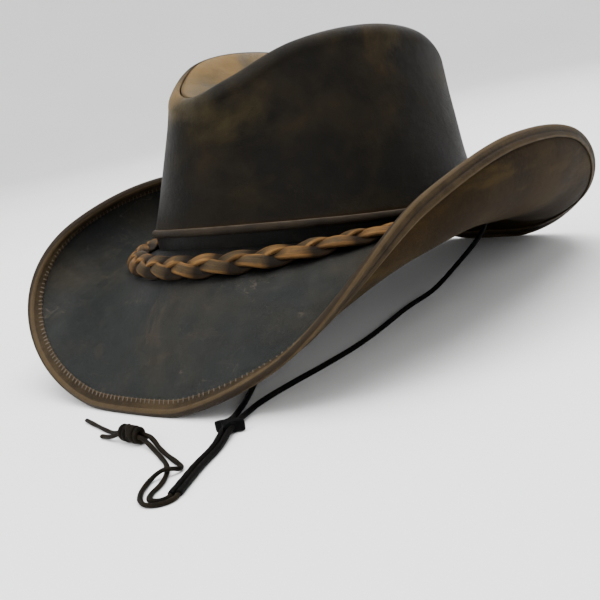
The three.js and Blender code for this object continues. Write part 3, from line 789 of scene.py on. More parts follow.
def plait_leather():
    """Strands with grey brown faces and tan edges, more tan in some lobes, streaked lengthways, and
    painted shade where they dip under each other."""
    c = colours()
    s = Shader("hat_plait_leather")
    along, across = s.attribute("along"), s.attribute("across")
    lines = s.node("ShaderNodeCombineXYZ", {"X": s.times(along, 60.0), "Y": s.times(across, 4.0)})
    streak = s.fit(s.noise(1.0, 5.0, 0.65, lines.outputs[0]), 0.3, 0.7)
    cloud = s.noise(75.0, 5.0, 0.65)
    tan = s.mix(streak, toned(c.plait_tan, 0.4), c.plait_tan)
    grey = s.mix(streak, toned(c.plait_grey, 0.5), c.plait_grey)
    off_middle = s.math("ABSOLUTE", across)
    tone = s.plus(s.attribute("tan"), s.times(s.fit(off_middle, 0.3, 1.0), 0.6))
    base = s.mix(s.fit(s.plus(tone, s.swing(cloud, 1.2)), 0.3, 0.95), grey, tan)
    base = s.mix(s.times(s.fit(off_middle, 0.93, 1.0), 0.6), base, PLAIT_RIM)
    # Painted shade where a strand dips under its neighbours
    base = s.mix(s.times(s.attribute("low"), 0.93), base, PLAIT_GAP_SHADE)
    return s.surface(base, s.fit(cloud, 0.3, 0.7, 0.5, 0.72), leather_bump(s, 0.00014), 0.06)


def braid_cord():
    """Black braided thread with fine dull fibres."""
    s = Shader("hat_cord_braid")
    black = colours().cord_black
    fibre = s.noise(2600.0, 3.0, 0.6)
    base = s.mix(s.fit(fibre, 0.35, 0.7), toned(black, 0.6), toned(black, 2.2))
    return s.surface(base, s.fit(fibre, 0.3, 0.7, 0.6, 0.8), s.bump(fibre, 0.00008), 0.05)


def lace_leather():
    """Thin dark brown lace, paler in rubbed places."""
    s = Shader("hat_lace_leather")
    brown = colours().lace_brown
    rub = s.noise(220.0, 4.0, 0.6)
    base = s.mix(s.fit(rub, 0.35, 0.7), toned(brown, 0.45), toned(brown, 1.7))
    return s.surface(base, s.fit(rub, 0.3, 0.7, 0.5, 0.7), leather_bump(s, 0.0001, 2200.0), 0.05)


def slide_plastic():
    """Moulded black plastic with a fine satin texture."""
    s = Shader("hat_slide_plastic")
    black = colours().slide_black
    grain = s.noise(1900.0, 3.0, 0.5)
    base = s.mix(s.fit(grain, 0.3, 0.7), black, toned(black, 1.6))
    return s.surface(base, s.fit(grain, 0.3, 0.7, 0.5, 0.6), s.bump(grain, 0.00003), 0.03)


def thread():
    """Waxed thread, paler and darker from stitch to stitch."""
    s = Shader("hat_stitch_thread")
    pale = colours().stitch
    twist = s.noise(1500.0, 2.0, 0.5)
    tone = s.blend(twist, s.noise(35.0, 3.0, 0.5), 0.4)
    base = s.mix(s.fit(tone, 0.35, 0.65), toned(pale, 0.45), pale)
    return s.surface(base, s.fit(twist, 0.3, 0.7, 0.55, 0.75), s.bump(twist, 0.00005))


def floor_paper():
    """Pale matt floor with the faintest unevenness."""
    s = Shader("floor_paper")
    tone = s.fit(s.noise(3.0, 2.0, 0.5), 0.3, 0.7)
    return s.surface(s.mix(tone, FLOOR_DARK, FLOOR_PALE), s.plus(s.times(tone, 0.05), 0.85))


# Stage

def camera_turned():
    """Camera matrix: it stands off by azimuth, elevation and distance, rolls, and then turns about
    its own up and right axes until the foot's centre shows at its pixel."""
    azimuth, elevation, roll = (math.radians(a) for a in (CAMERA_AZIMUTH, CAMERA_ELEVATION, CAMERA_ROLL))
    back = Vector((math.sin(azimuth) * math.cos(elevation), -math.cos(azimuth) * math.cos(elevation),
                   math.sin(elevation)))
    right = Vector((math.cos(azimuth), math.sin(azimuth), 0))
    up = back.cross(right)
    right, up = (math.cos(roll) * right + math.sin(roll) * up, math.cos(roll) * up - math.sin(roll) * right)
    off_x = FOOT_PIXEL[0] - PICTURE / 2
    off_y = FOOT_PIXEL[1] - PICTURE / 2
    yaw = -math.atan2(off_x, FOCAL_PIXELS)
    ahead = math.sin(yaw) * right - math.cos(yaw) * back
    side = math.cos(yaw) * right + math.sin(yaw) * back
    pitch = math.atan2(off_y, math.hypot(FOCAL_PIXELS, off_x))
    top = math.cos(pitch) * up - math.sin(pitch) * ahead
    ahead = math.sin(pitch) * up + math.cos(pitch) * ahead
    place = Vector((0, FOOT_CENTRE_Y, form().foot_height)) + back * CAMERA_DISTANCE
    turned = Matrix((side, top, -ahead)).transposed().to_4x4()
    return Matrix.Translation(place) @ turned


def area_light(name, place, target, size, energy):
    """Square soft light aimed at a point."""
    data = bpy.data.lights.new(name, "AREA")
    data.size = size
    data.energy = energy
    light = bpy.data.objects.new(name, data)
    bpy.context.scene.collection.objects.link(light)
    light.location = place
    light.rotation_euler = (Vector(target) - Vector(place)).to_track_quat("-Z", "Y").to_euler()


LIGHTS = [
    {"name": "top", "place": (0.1, -0.2, 2.1), "target": (0, 0, 0), "size": 2.2, "energy": 95},
    {"name": "key", "place": (-0.7, -1.5, 1.5), "target": (0, 0, 0.08), "size": 1.2, "energy": 26},
    {"name": "side", "place": (1.7, -0.5, 0.9), "target": (0, 0, 0.08), "size": 1.2, "energy": 8},
    {"name": "rim", "place": (-0.6, 1.6, 1.5), "target": (0, 0, 0.1), "size": 1.2, "energy": 12},
]
WORLD_STRENGTH = 0.85

# Floor: level out to FLOOR_FLAT, then a quarter round of FLOOR_BEND, then a wall
FLOOR_FLAT = 2.4
FLOOR_BEND = 1.4
FLOOR_WALL = 2.6
FLOOR_RINGS = 24


class HAT_OT_stage(bpy.types.Operator):
    """Makes the camera, the soft lights and a pale floor that curves up far away"""

    bl_idname = "bush_hat.stage"
    bl_label = "Stage"

    def execute(self, context):
        self.camera(context.scene)
        self.floor(context.scene)
        for light in LIGHTS:
            area_light(**light)
        world = bpy.data.worlds.new("studio")
        context.scene.world = world
        world.use_nodes = True
        background = world.node_tree.nodes["Background"]
        background.inputs["Color"].default_value = (1, 1, 1, 1)
        background.inputs["Strength"].default_value = WORLD_STRENGTH
        return {"FINISHED"}

    def camera(self, scene):
        data = bpy.data.cameras.new("camera")
        data.sensor_width = SENSOR_WIDTH
        data.lens = FOCAL_PIXELS / PICTURE * SENSOR_WIDTH
        data.clip_start = 0.01
        data.clip_end = 50
        camera = bpy.data.objects.new("camera", data)
        scene.collection.objects.link(camera)
        camera.matrix_world = camera_turned()
        scene.camera = camera

    def floor(self, scene):
        """Floor: its profile, from the middle outwards and up, turned round the upright axis."""
        bend = np.linspace(0, np.pi / 2, 16)[1:]
        radius = np.concatenate([np.linspace(0.02, FLOOR_FLAT, FLOOR_RINGS),
                                 FLOOR_FLAT + FLOOR_BEND * np.sin(bend), [FLOOR_FLAT + FLOOR_BEND]])
        height = np.concatenate([np.zeros(FLOOR_RINGS), FLOOR_BEND * (1 - np.cos(bend)),
                                 [FLOOR_BEND + FLOOR_WALL]])
        turn = np.radians(np.arange(0, 360, 4))[:, None]
        grid = stack(radius * np.cos(turn), radius * np.sin(turn), height + 0 * turn)
        rows, columns = grid.shape[:2]
        points = np.concatenate([grid.reshape(-1, 3), [[0, 0, 0]]])
        i = np.arange(rows)
        hub = np.stack([np.full(rows, rows * columns), i * columns, (i + 1) % rows * columns], -1)
        mesh = bpy.data.meshes.new("floor")
        faces = grid_faces(rows, columns, close_columns=False).tolist() + hub.tolist()
        mesh.from_pydata(points.tolist(), [], faces)
        mesh.polygons.foreach_set("use_smooth", np.ones(len(mesh.polygons), bool))
        floor = bpy.data.objects.new("floor", mesh)
        scene.collection.objects.link(floor)
        floor.data.materials.append(floor_paper())
        floor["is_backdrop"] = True


# Chin cord

def smooth_route(points, spacing, ease=0.0):
    """Even points along the centripetal Catmull-Rom curve through the chosen points, in metres, and
    its length. Bends sharper than the length ease are drawn out."""
    p = np.array(points, float) * MM
    p = np.concatenate([[2 * p[0] - p[1]], p, [2 * p[-1] - p[-2]]])
    fine = []
    for i in range(1, len(p) - 2):
        knots = np.cumsum([0, *np.sqrt(np.linalg.norm(np.diff(p[i - 1 : i + 3], axis=0), axis=1))])
        t = np.linspace(knots[1], knots[2], 24, endpoint=False)[:, None]

        def lerp(a, b, j, k):
            return (a * (knots[k] - t) + b * (t - knots[j])) / (knots[k] - knots[j])

        a1, a2, a3 = (lerp(p[i - 1 + k], p[i + k], k, k + 1) for k in range(3))
        fine.append(lerp(lerp(a1, a2, 0, 2), lerp(a2, a3, 1, 3), 1, 2))
    fine = np.concatenate([*fine, p[-2][None]])
    run = np.concatenate([[0], np.cumsum(np.linalg.norm(np.diff(fine, axis=0), axis=1))])
    count = max(2, int(round(run[-1] / spacing)) + 1)
    at = np.linspace(0, run[-1], count)
    path = np.stack([np.interp(at, run, fine[:, k]) for k in range(3)], -1)
    half = int(ease / spacing / 2)
    if half:
        reach = np.minimum(np.minimum(np.arange(count), np.arange(count)[::-1]), half)
        sums = np.concatenate([np.zeros((1, 3)), np.cumsum(path, axis=0)])
        i = np.arange(count)
        path = (sums[i + reach + 1] - sums[i - reach]) / (2 * reach + 1)[:, None]
    return path, np.linalg.norm(np.diff(path, axis=0), axis=1).sum()


def route_frames(path):
    """Side and upper directions along a route, kept level so that the section doesn't twist."""
    ahead = np.gradient(path, axis=0)
    ahead /= np.linalg.norm(ahead, axis=1)[:, None]
    side = np.cross(ahead, (0, 0, 1.0))
    side /= np.maximum(np.linalg.norm(side, axis=1), 1e-9)[:, None]
    return ahead, side, np.cross(side, ahead)


def tube_sections(path, across, upward):
    """Sections along a route from each corner's distance to its side and upwards, kept off the floor."""
    _, side, up = route_frames(path)
    sections = path[:, None] + side[:, None] * across[..., None] + up[:, None] * upward[..., None]
    sections[..., 2] = np.maximum(sections[..., 2], FLOOR_GAP)
    return sections


def braided(name, points, diameter, corners=16, strands=8, spacing=0.42 * MM):
    """Braided cord: a tube whose radius swells where its two sets of slanting strands cross over."""
    path, run = smooth_route(points, spacing, CORD_EASE)
    s = np.linspace(0, run, len(path))[:, None]
    a = np.radians(np.arange(corners) * 360 / corners)[None]
    lean = 2 * np.pi / (2.4 * diameter)
    one = np.abs(np.cos(strands / 4 * a + lean * s / 2))
    two = np.abs(np.cos(strands / 4 * a - lean * s / 2))
    radius = diameter / 2 * (0.9 + 0.1 * np.maximum(one, two) ** 1.5)
    return rod_mesh(name, tube_sections(path, radius * np.cos(a), radius * np.sin(a))), path, run


def lace(name, points, diameter, seed, spacing=0.5 * MM):
    """Thin leather lace: a slightly flattened tube with an uneven width and a narrower first end."""
    path, run = smooth_route(points, spacing)
    s = np.linspace(0, run, len(path))[:, None]
    a = np.radians(np.arange(12) * 30)[None]
    phase = np.random.default_rng(seed).uniform(0, 6.28, 3)
    uneven = 1 + 0.05 * np.sin(s / (2.3 * MM) + phase[0]) + 0.04 * np.sin(s / (5.1 * MM) + phase[1])
    width = diameter / 2 * uneven
    sections = tube_sections(path, 1.08 * width * np.cos(a), 0.92 * width * np.sin(a))
    taper = np.minimum(1, 0.75 + s / (2 * MM))[..., None]
    return rod_mesh(name, path[:, None] + (sections - path[:, None]) * taper), path, run


def back_route():
    """Hidden stretch in millimetres: out of one hole, on the brim behind the plait, to the other hole."""
    over = form().leather / 2 + CLEARANCE + cords().cord_diameter / 2
    from_middle = foot(np.array(CORD_HOLE_TURN)) - [0, FOOT_CENTRE_Y, 0]
    rise = CORD_HOLE_TURN + math.degrees(CORD_RISE / np.linalg.norm(from_middle))
    count = 5
    turns = [CORD_HOLE_TURN, rise, *(rise + (180 - rise) * i / (count + 0.5) for i in range(1, count + 1))]
    overs = [0, over + CLEARANCE, *([over] * count)]
    left = brim_point(np.array(turns), CORD_INSET, np.array(overs)) / MM
    right = left[::-1] * [-1, 1, 1]
    return np.concatenate([left, right]).tolist()


class HAT_OT_chin_cord(bpy.types.Operator):
    """Makes the braided chin cord from hole to slide to fold, and its hidden stretch behind the plait"""

    bl_idname = "bush_hat.chin_cord"
    bl_label = "Chin Cord"

    def execute(self, context):
        material = braid_cord()
        diameter = cords().cord_diameter
        for side, strand, tail in (("left", LEFT_STRAND, LEFT_TAIL), ("right", RIGHT_STRAND, RIGHT_TAIL)):
            obj, path, run = braided(f"chin_cord_{side}", strand + tail, diameter)
            finish_piece(obj, material, (f"cord_{side}", f"cord_{side}_tail"))
            tuple(path[0])
        obj, path, run = braided("chin_cord_back", back_route(), diameter)
        finish_piece(obj, material, ("cord_back",))
        tuple(path[0])
        return {"FINISHED"}


class HAT_OT_laces(bpy.types.Operator):
    """Makes the two thin laces, each whole from the fold through the knot to its free end"""

    bl_idname = "bush_hat.laces"
    bl_label = "Laces"

    def execute(self, context):
        material = made_once(lace_leather)
        diameter = cords().lace_diameter
        routes = (("long_lace", LOOP_LACE + LONG_END, ("lace_loop", "lace_long_end")),
                  ("short_lace", STRAIGHT_LACE + SHORT_END, ("lace_straight", "lace_short_end")))
        for seed, (name, points, nodes) in enumerate(routes):
            obj, path, run = lace(name, points, diameter, seed)
            finish_piece(obj, material, nodes)
            tuple(path[0])
        return {"FINISHED"}


class HAT_OT_knot(bpy.types.Operator):
    """Makes the knot that the two laces run through: wraps of lace with a slanting turn over them"""

    bl_idname = "bush_hat.knot"
    bl_label = "Wrapped Knot"

    def execute(self, context):
        c = cords()
        half, radius = c.knot_length / 2, c.knot_diameter / 2
        thick = c.lace_diameter * 1.12

        # Five wraps, closer in at both ends
        t = np.linspace(0, 1, 420)
        angle = 2 * np.pi * 5 * t
        reach = (radius - thick / 2) * (1 - 0.1 * np.abs(2 * t - 1) ** 6)
        reach = reach * (1 + 0.06 * np.sin(angle * 0.61 + 0.8))
        along = (2 * t - 1) * (half - thick * 0.72)
        wraps = self.tube(self.around(along, angle, reach), thick / 2)

        # One slanting turn over them
        s = np.linspace(0, 1, 120)
        over = radius - thick / 2 + 0.35 * MM
        slanting = self.around((s - 0.5) * half * 1.2, np.radians(35 + 200 * s), over + 0 * s, 0.98)
        turn = self.tube(slanting, thick * 0.46)

        start = len(wraps[0])
        points = np.concatenate([wraps[0], turn[0]])
        points[:, 2] = np.maximum(points[:, 2], 0.05 * MM)
        faces = [np.concatenate([wraps[k], turn[k] + start]) for k in (1, 2)]
        obj = put_mesh("wrapped_knot", points, faces)
        finish_piece(obj, made_once(lace_leather), ("end_knot",))
        return {"FINISHED"}

    def around(self, along, angle, reach, squash=1.0):
        """Points round the knot's axis by the way along it, the angle and the distance from it, which
        is squashed by a factor in its height."""
        turn = math.radians(KNOT_TURN)
        axis = np.array([math.cos(turn), math.sin(turn), 0.0])
        level = np.array([-math.sin(turn), math.cos(turn), 0.0])
        up = np.array([0, 0, 1.0])
        out = level * (np.cos(angle) * reach)[:, None] + up * (np.sin(angle) * reach * squash)[:, None]
        return np.array(KNOT_CENTRE) * MM + axis * along[:, None] + out

    def tube(self, path, radius, corners=12):
        """Round tube along a path, rounded at its ends, as points, four-sided and three-sided faces."""
        ahead = np.gradient(path, axis=0)
        ahead /= np.linalg.norm(ahead, axis=1)[:, None]
        side = np.cross(ahead, (0.3, 0.2, 0.93))
        side /= np.linalg.norm(side, axis=1)[:, None]
        top = np.cross(side, ahead)
        run = np.concatenate([[0], np.cumsum(np.linalg.norm(np.diff(path, axis=0), axis=1))])
        near = np.minimum(run, run[-1] - run)
        swell = np.sqrt(np.clip(1 - (1 - np.clip(near / radius, 0, 1)) ** 2, 0.03, 1))
        a = np.radians(np.arange(corners) * 360 / corners)
        ring = side[:, None] * np.cos(a)[None, :, None] + top[:, None] * np.sin(a)[None, :, None]
        sections = path[:, None] + ring * (radius * swell)[:, None, None]
        rows = len(path)
        return rod_points(sections), grid_faces(rows, corners, close_rows=False), end_fans(rows, corners)


class HAT_OT_slide(bpy.types.Operator):
    """Makes the star-shaped slide with four pointed arms"""

    bl_idname = "bush_hat.slide"
    bl_label = "Star Slide"

    def execute(self, context):
        """Outline: a circle with four waves, sharpened by a power. Side: a rounded box's profile."""
        c = cords()
        angles = np.radians(np.arange(0, 360, 3))
        wave = (0.5 + 0.5 * np.cos(4 * angles)) ** 2.8
        waist = c.slide_waist * 0.8
        outline = waist + (c.slide_reach - waist) * wave
        lift = np.radians(np.linspace(-90, 90, 31))[1:-1, None]
        reach = outline * np.abs(np.cos(lift)) ** 0.2
        height = c.slide_thickness / 2 * np.sign(np.sin(lift)) * np.abs(np.sin(lift)) ** 0.3
        turn = math.radians(SLIDE_TURN)
        place = stack(reach * np.cos(angles + turn), reach * np.sin(angles + turn), height)
        obj = rod_mesh("star_slide", np.array(SLIDE_CENTRE) * MM + place)
        finish_piece(obj, slide_plastic(), ("cord_slide",))
        return {"FINISHED"}


# Crown

class HAT_OT_crown(bpy.types.Operator):
    """Makes the crown's wall, its sunk top, the welt and the band under it"""

    bl_idname = "bush_hat.crown"
    bl_label = "Crown"

    def execute(self, context):
        material = crown_leather()
        leather = form().leather
        self.wall(material, leather)
        self.top(material, leather)
        self.welt()
        self.band(leather)
        return {"FINISHED"}

    def wall(self, material, leather):
        """Wall and rolled shoulder: share runs up the wall, over runs along the shoulder to the seam."""
        turn = np.arange(0, 360, 1.0)[:, None]
        share = np.linspace(0, 1, 34)[None] + 0 * turn
        over = np.linspace(0, 1, 26)[1:][None] + 0 * turn
        wall = crown_wall(turn + 0 * share, share)
        swell = WALL_SWELL * soft_waves(turn, share, 4) * np.sin(np.pi * share) ** 1.2
        wall += foot_outward(turn[:, 0])[:, None] * swell[..., None]
        roll = shoulder(turn + 0 * over, shoulder_angle(turn, over))
        sections = wall_sections(np.concatenate([wall, roll], 1), leather)

        # Tan mask: rubbed leather at the front corner and the back, and painted highlight round the front
        # corner, along the shoulder's crest and along the seam
        corner = bell(turn_from(turn, CORNER_TURN), CORNER_REACH)
        back = BACK_WEAR * bell(turn_from(turn, BACK_TURN), BACK_REACH)
        climb = np.clip((share - 0.72) / 0.28, 0, 1) ** 1.5
        rubbed = SHOULDER_HIGHLIGHT + CORNER_WEAR_AND_HIGHLIGHT * corner
        wear_and_highlight = BASE_WEAR + np.concatenate([climb * rubbed + back * share,
                                           rubbed + back + SEAM_HIGHLIGHT * over**2], 1)
        seam = np.concatenate([np.clip(1 - share / 0.035, 0, 1), np.clip((over - 0.95) / 0.05, 0, 1)], 1)
        shade = np.concatenate([np.clip(1 - share / 0.55, 0, 1) ** 0.8, 0 * over], 1)
        values = {"wear_and_highlight": wear_and_highlight, "seam": seam, "shade": shade}
        obj = loop_mesh("crown_wall", sections, {k: across_sections(v) for k, v in values.items()})
        finish_piece(obj, material, ("crown_side",))

    def top(self, material, leather):
        """Sunk top: two faces of a grid from the seam inwards, a rim between them and a hub on each."""
        turn = np.arange(0, 360, 1.5)[:, None]
        share = np.linspace(1, 0.03, 44)[None]
        middle = crown_top(*np.broadcast_arrays(turn, share))
        middle[..., 2] += DENT_SWELL * soft_waves(turn, 3 * share, 9) * np.sin(np.pi * share)
        normal = surface_normals(middle)
        normal *= np.sign(normal[..., 2:])
        rows, columns = middle.shape[:2]
        sides = (middle + normal * leather / 2, middle - normal * leather / 2)
        hubs = [side[:, -1].mean(0)[None] for side in sides]
        points = np.concatenate([sides[0].reshape(-1, 3), sides[1].reshape(-1, 3), *hubs])
        size = rows * columns
        first = np.arange(rows) * columns
        after = np.roll(first, -1)
        end = columns - 1
        upper = grid_faces(rows, columns, close_columns=False)
        lower = upper[:, ::-1] + size
        rim = np.stack([after, first, first + size, after + size], -1)
        hub_up = np.stack([np.full(rows, 2 * size), after + end, first + end], -1)
        hub_down = np.stack([first + end + size, after + end + size, np.full(rows, 2 * size + 1)], -1)
        # The top is painted tan all over, most towards its seam: painted light for the light that falls on
        # it from above
        wear_and_highlight = np.clip(0.62 + 0.3 * share**1.5 + 0 * turn, 0, 1)
        seam = np.clip((share - 0.98) / 0.02, 0, 1) + 0 * turn
        values = {k: np.concatenate([v.ravel(), v.ravel(), [v[:, -1].mean()] * 2])
                  for k, v in (("wear_and_highlight", wear_and_highlight), ("seam", seam))}
        obj = put_mesh("crown_top_panel", points, [upper, lower, rim, hub_up, hub_down], values)
        clean = bmesh.new()
        clean.from_mesh(obj.data)
        bmesh.ops.recalc_face_normals(clean, faces=clean.faces)
        clean.to_mesh(obj.data)
        clean.free()
        finish_piece(obj, material, ("crown_top",))

    def welt(self):
        """Piping: a round cord in leather with a shallow crease where it meets the band."""
        turn = np.arange(0, 360, 0.75)[:, None]
        a = np.radians(np.arange(0, 360, 20))[None]
        uneven = 1 - 0.025 + 0.025 * soft_waves(turn * 7, 0 * a + 1, 3)
        radius = WELT_DIAMETER / 2 * uneven * (1 - 0.06 * bell(a - np.radians(300), 0.35))
        place = foot(turn) + foot_outward(turn) * (radius * np.cos(a))[..., None]
        place[..., 2] += radius * np.sin(a)
        # Paler along its top: a painted highlight
        wear_and_highlight = 0.1 + 0.8 * np.clip(np.sin(a - 0.1), 0, 1) ** 3 + 0 * turn
        obj = loop_mesh("crown_piping", place, {"wear_and_highlight": wear_and_highlight, "seam": 0.0})
        finish_piece(obj, trim_leather("hat_welt_leather", **WELT_TONES), ("crown_welt",))

    def band(self, leather):
        """Plain upright band: its outer face follows the foot, its lower edge the brim."""
        turn = np.arange(0, 360, 1.0)[:, None]
        slope = brim_slope(turn, 0.0)
        top = SEWN_DEPTH - WELT_DIAMETER / 2

        def brim_top(out):
            return -BAND_HEIGHT + out * np.tan(slope) + leather / 2 / np.cos(slope)

        down = np.linspace(0, 1, 7)[None]
        face = top + (brim_top(0) - top) * down
        back = brim_top(-leather) + (top - brim_top(-leather)) * down
        outs = np.concatenate([0 * face, 0 * back - leather], 1)
        place = foot(turn) + foot_outward(turn) * outs[..., None]
        place[..., 2] += np.concatenate([face, back], 1)
        obj = loop_mesh("foot_band_leather", place, {"under": 0.0, "shade": BAND_SHADE}, smooth=False)
        finish_piece(obj, made_once(brim_leather), ("foot_band",))


# Brim

class HAT_OT_brim(bpy.types.Operator):
    """Makes the curled brim, with a slot for the cord at each side of its back"""

    bl_idname = "bush_hat.brim"
    bl_label = "Brim"

    def execute(self, context):
        leather = form().leather
        turn = np.arange(0, 360, 0.75)[:, None]
        width = form().brim_width * row_value(BRIM_ROWS, "width", turn)
        share = np.linspace(0, 1, 56)[None]
        distance = -BRIM_INNER_LEDGE + (width + BRIM_INNER_LEDGE) * share
        upper = brim_point(turn, distance, leather / 2)
        lower = brim_point(turn, distance, -leather / 2)
        sections = np.concatenate([upper, lower[:, ::-1]], 1)
        columns = share.shape[1]
        under = np.concatenate([np.zeros(columns), np.ones(columns)])[None] + 0 * turn
        # Painted contact shadow along the plait's outer edge, and painted shade on the brim beside the
        # plait, less on its lower face
        contact_shadow = bell(np.maximum(distance - PLAIT_INSET - trim().plait_width, 0), CONTACT_SHADOW_REACH)
        near = BRIM_SHADE * np.clip(1 - (distance - PLAIT_INSET) / BRIM_SHADE_REACH, 0, 1) ** 1.5
        near = np.maximum(near, contact_shadow)
        shade = np.concatenate([near, LOWER_SHARE * near[:, ::-1]], 1)
        obj = loop_mesh("brim_leather_sheet", sections, {"under": under, "shade": shade})
        self.cut_slots(obj, leather)
        finish_piece(obj, made_once(brim_leather), ("brim",))
        return {"FINISHED"}

    def cut_slots(self, obj, leather):
        """Cuts the two slots with upright cutters of a long round outline."""
        half = CORD_HOLE_WIDTH / 2
        run = CORD_HOLE_LENGTH / 2 - half
        arc = np.radians(np.linspace(-90, 90, 13))
        outline = np.concatenate([np.stack([run + half * np.cos(arc), half * np.sin(arc)], -1),
                                  np.stack([-run - half * np.cos(arc), -half * np.sin(arc)], -1)])
        for side in (1, -1):
            turn = np.array(side * CORD_HOLE_TURN)
            outward = foot_outward(turn)
            along = np.array([-outward[1], outward[0], 0])
            centre = brim_point(turn, CORD_INSET)
            level = centre + outline[:, :1] * along + outline[:, 1:] * outward
            sections = np.stack([level + [0, 0, h] for h in (-3 * leather, 3 * leather)])
            cutter = rod_mesh("slot_cutter", sections)
            cut = obj.modifiers.new("slot", "BOOLEAN")
            cut.operation = "DIFFERENCE"
            cut.solver = "EXACT"
            cut.object = cutter
            graph = bpy.context.evaluated_depsgraph_get()
            graph.update()
            made = bpy.data.meshes.new_from_object(obj.evaluated_get(graph))
            obj.modifiers.clear()
            old = obj.data
            obj.data = made
            bpy.data.meshes.remove(old)
            bpy.data.objects.remove(cutter)


class HAT_OT_binding(bpy.types.Operator):
    """Makes the strip folded round the brim's edge, and the stitches on its upper face"""

    bl_idname = "bush_hat.binding"
    bl_label = "Binding and Stitches"

    def execute(self, context):
        leather, reach = form().leather, trim().binding_reach
        inside = leather / 2 + CLEARANCE
        outside = inside + BINDING_WALL
        self.strip(inside, outside, reach)
        self.stitches(outside, reach)
        return {"FINISHED"}

    def strip(self, inside, outside, reach):
        """Section: the upper face out to the edge, half round it, the lower face back with its
        pressed line, and the inside, by the distance past the brim's edge and over its middle."""
        turn = np.arange(0, 360, 0.5)[:, None]
        width = form().brim_width * row_value(BRIM_ROWS, "width", turn)
        out = np.linspace(0, 1, 19) * reach
        upper = outside - 0.45 * MM * np.clip(1 - out / (0.8 * MM), 0, 1) ** 2
        lower = upper - GROOVE_DEPTH * bell(out - GROOVE, 0.5 * MM)
        nose = np.radians(np.linspace(80, -80, 11))
        inner = np.array([-reach, -reach / 2, CLEARANCE])
        past = np.concatenate([out - reach, 0.92 * outside * np.cos(nose), out[::-1] - reach,
                               inner, inner[::-1]])[None]
        over = np.concatenate([upper, outside * np.sin(nose), -lower[::-1],
                               [-inside] * 3, [inside] * 3])[None]
        place = self.strip_point(turn, width, past, over)
        place[..., 2] = np.maximum(place[..., 2], 0)
        wear_and_highlight = np.where(past > -0.6 * MM, 0.85, 0.35)
        wear_and_highlight = np.where(np.abs(past + reach) < 0.9 * MM, 0.8, wear_and_highlight)
        # Darker along the pressed line, and painted shade on the faces that lie against the brim
        seam = np.where(over < 0, bell(past + reach - GROOVE, 0.55 * MM), 0.0)
        seam = np.where(np.abs(over) <= inside * 1.01, 1.0, seam)
        obj = loop_mesh("edge_binding", place, {"wear_and_highlight": wear_and_highlight, "seam": seam})
        main = colours().binding
        material = trim_leather("hat_binding_leather", main, toned(main, 0.42), toned(main, 2.0))
        finish_piece(obj, material, ("brim_binding",))

    def strip_point(self, turn, width, past, over):
        """Point by its distance past the brim's edge: beyond the edge the strip runs straight on."""
        place = brim_point(turn, width + np.minimum(past, 0), over)
        beyond = np.maximum(past, 0)
        slope = brim_slope(turn, 1.0)
        place = place + foot_outward(turn) * (beyond * np.cos(slope))[..., None]
        place[..., 2] += beyond * np.sin(slope)
        return place

    def stitches(self, outside, reach):
        """Edge stitches: small rounded grains across the strip's inner edge, slanted a little, whose
        inner ends dip to the brim."""
        t = trim()
        fine = np.arange(0, 360, 0.25)
        edge = brim_point(fine, form().brim_width * row_value(BRIM_ROWS, "width", fine) - reach)
        steps = np.linalg.norm(np.diff(np.concatenate([edge, edge[:1]]), axis=0), axis=1)
        run = np.concatenate([[0], np.cumsum(steps)])
        count = int(round(run[-1] / t.stitch_pitch))
        at = np.interp(np.arange(count) * run[-1] / count, run, np.append(fine, 360))
        jitter = np.random.default_rng(11).uniform(-1, 1, (count, 3, 1))
        rows, corners = 7, 6
        s = np.linspace(-1, 1, rows)[None, :, None]
        a = np.radians(np.arange(corners) * 60)
        swell = np.sqrt(np.clip(1 - 0.93 * s**4, 0.05, 1))
        slant = 0.55 * MM * s * (1 + 0.3 * jitter[:, :1])
        distance = 1.25 * MM + t.stitch_length / 2 * s * (1 + 0.08 * jitter[:, 1:2]) + 0 * a
        dip = 0.8 * MM * np.clip(-(distance + 0.1 * MM) / (0.8 * MM), 0, 1)
        high = 0.12 * MM + 0.36 * MM * np.sin(a) * swell - dip
        degrees = (slant + 0.42 * MM * np.cos(a) * swell) * 360 / run[-1]
        turn = at[:, None, None] + degrees + 0.12 * jitter[:, 2:3]
        width = form().brim_width * row_value(BRIM_ROWS, "width", turn)
        grid = brim_point(turn, width - reach + distance, outside + high)
        grid[..., 2] = np.maximum(grid[..., 2], FLOOR_GAP)
        ends = np.stack([grid[:, 0].mean(1), grid[:, -1].mean(1)], 1)
        grains = np.concatenate([grid.reshape(count, -1, 3), ends], 1)
        start = np.arange(count)[:, None, None] * grains.shape[1]
        quads = (grid_faces(rows, corners, close_rows=False)[None] + start).reshape(-1, 4)
        fans = (end_fans(rows, corners)[None] + start).reshape(-1, 3)
        obj = put_mesh("edge_stitches", grains.reshape(-1, 3), [quads, fans])
        finish_piece(obj, thread())


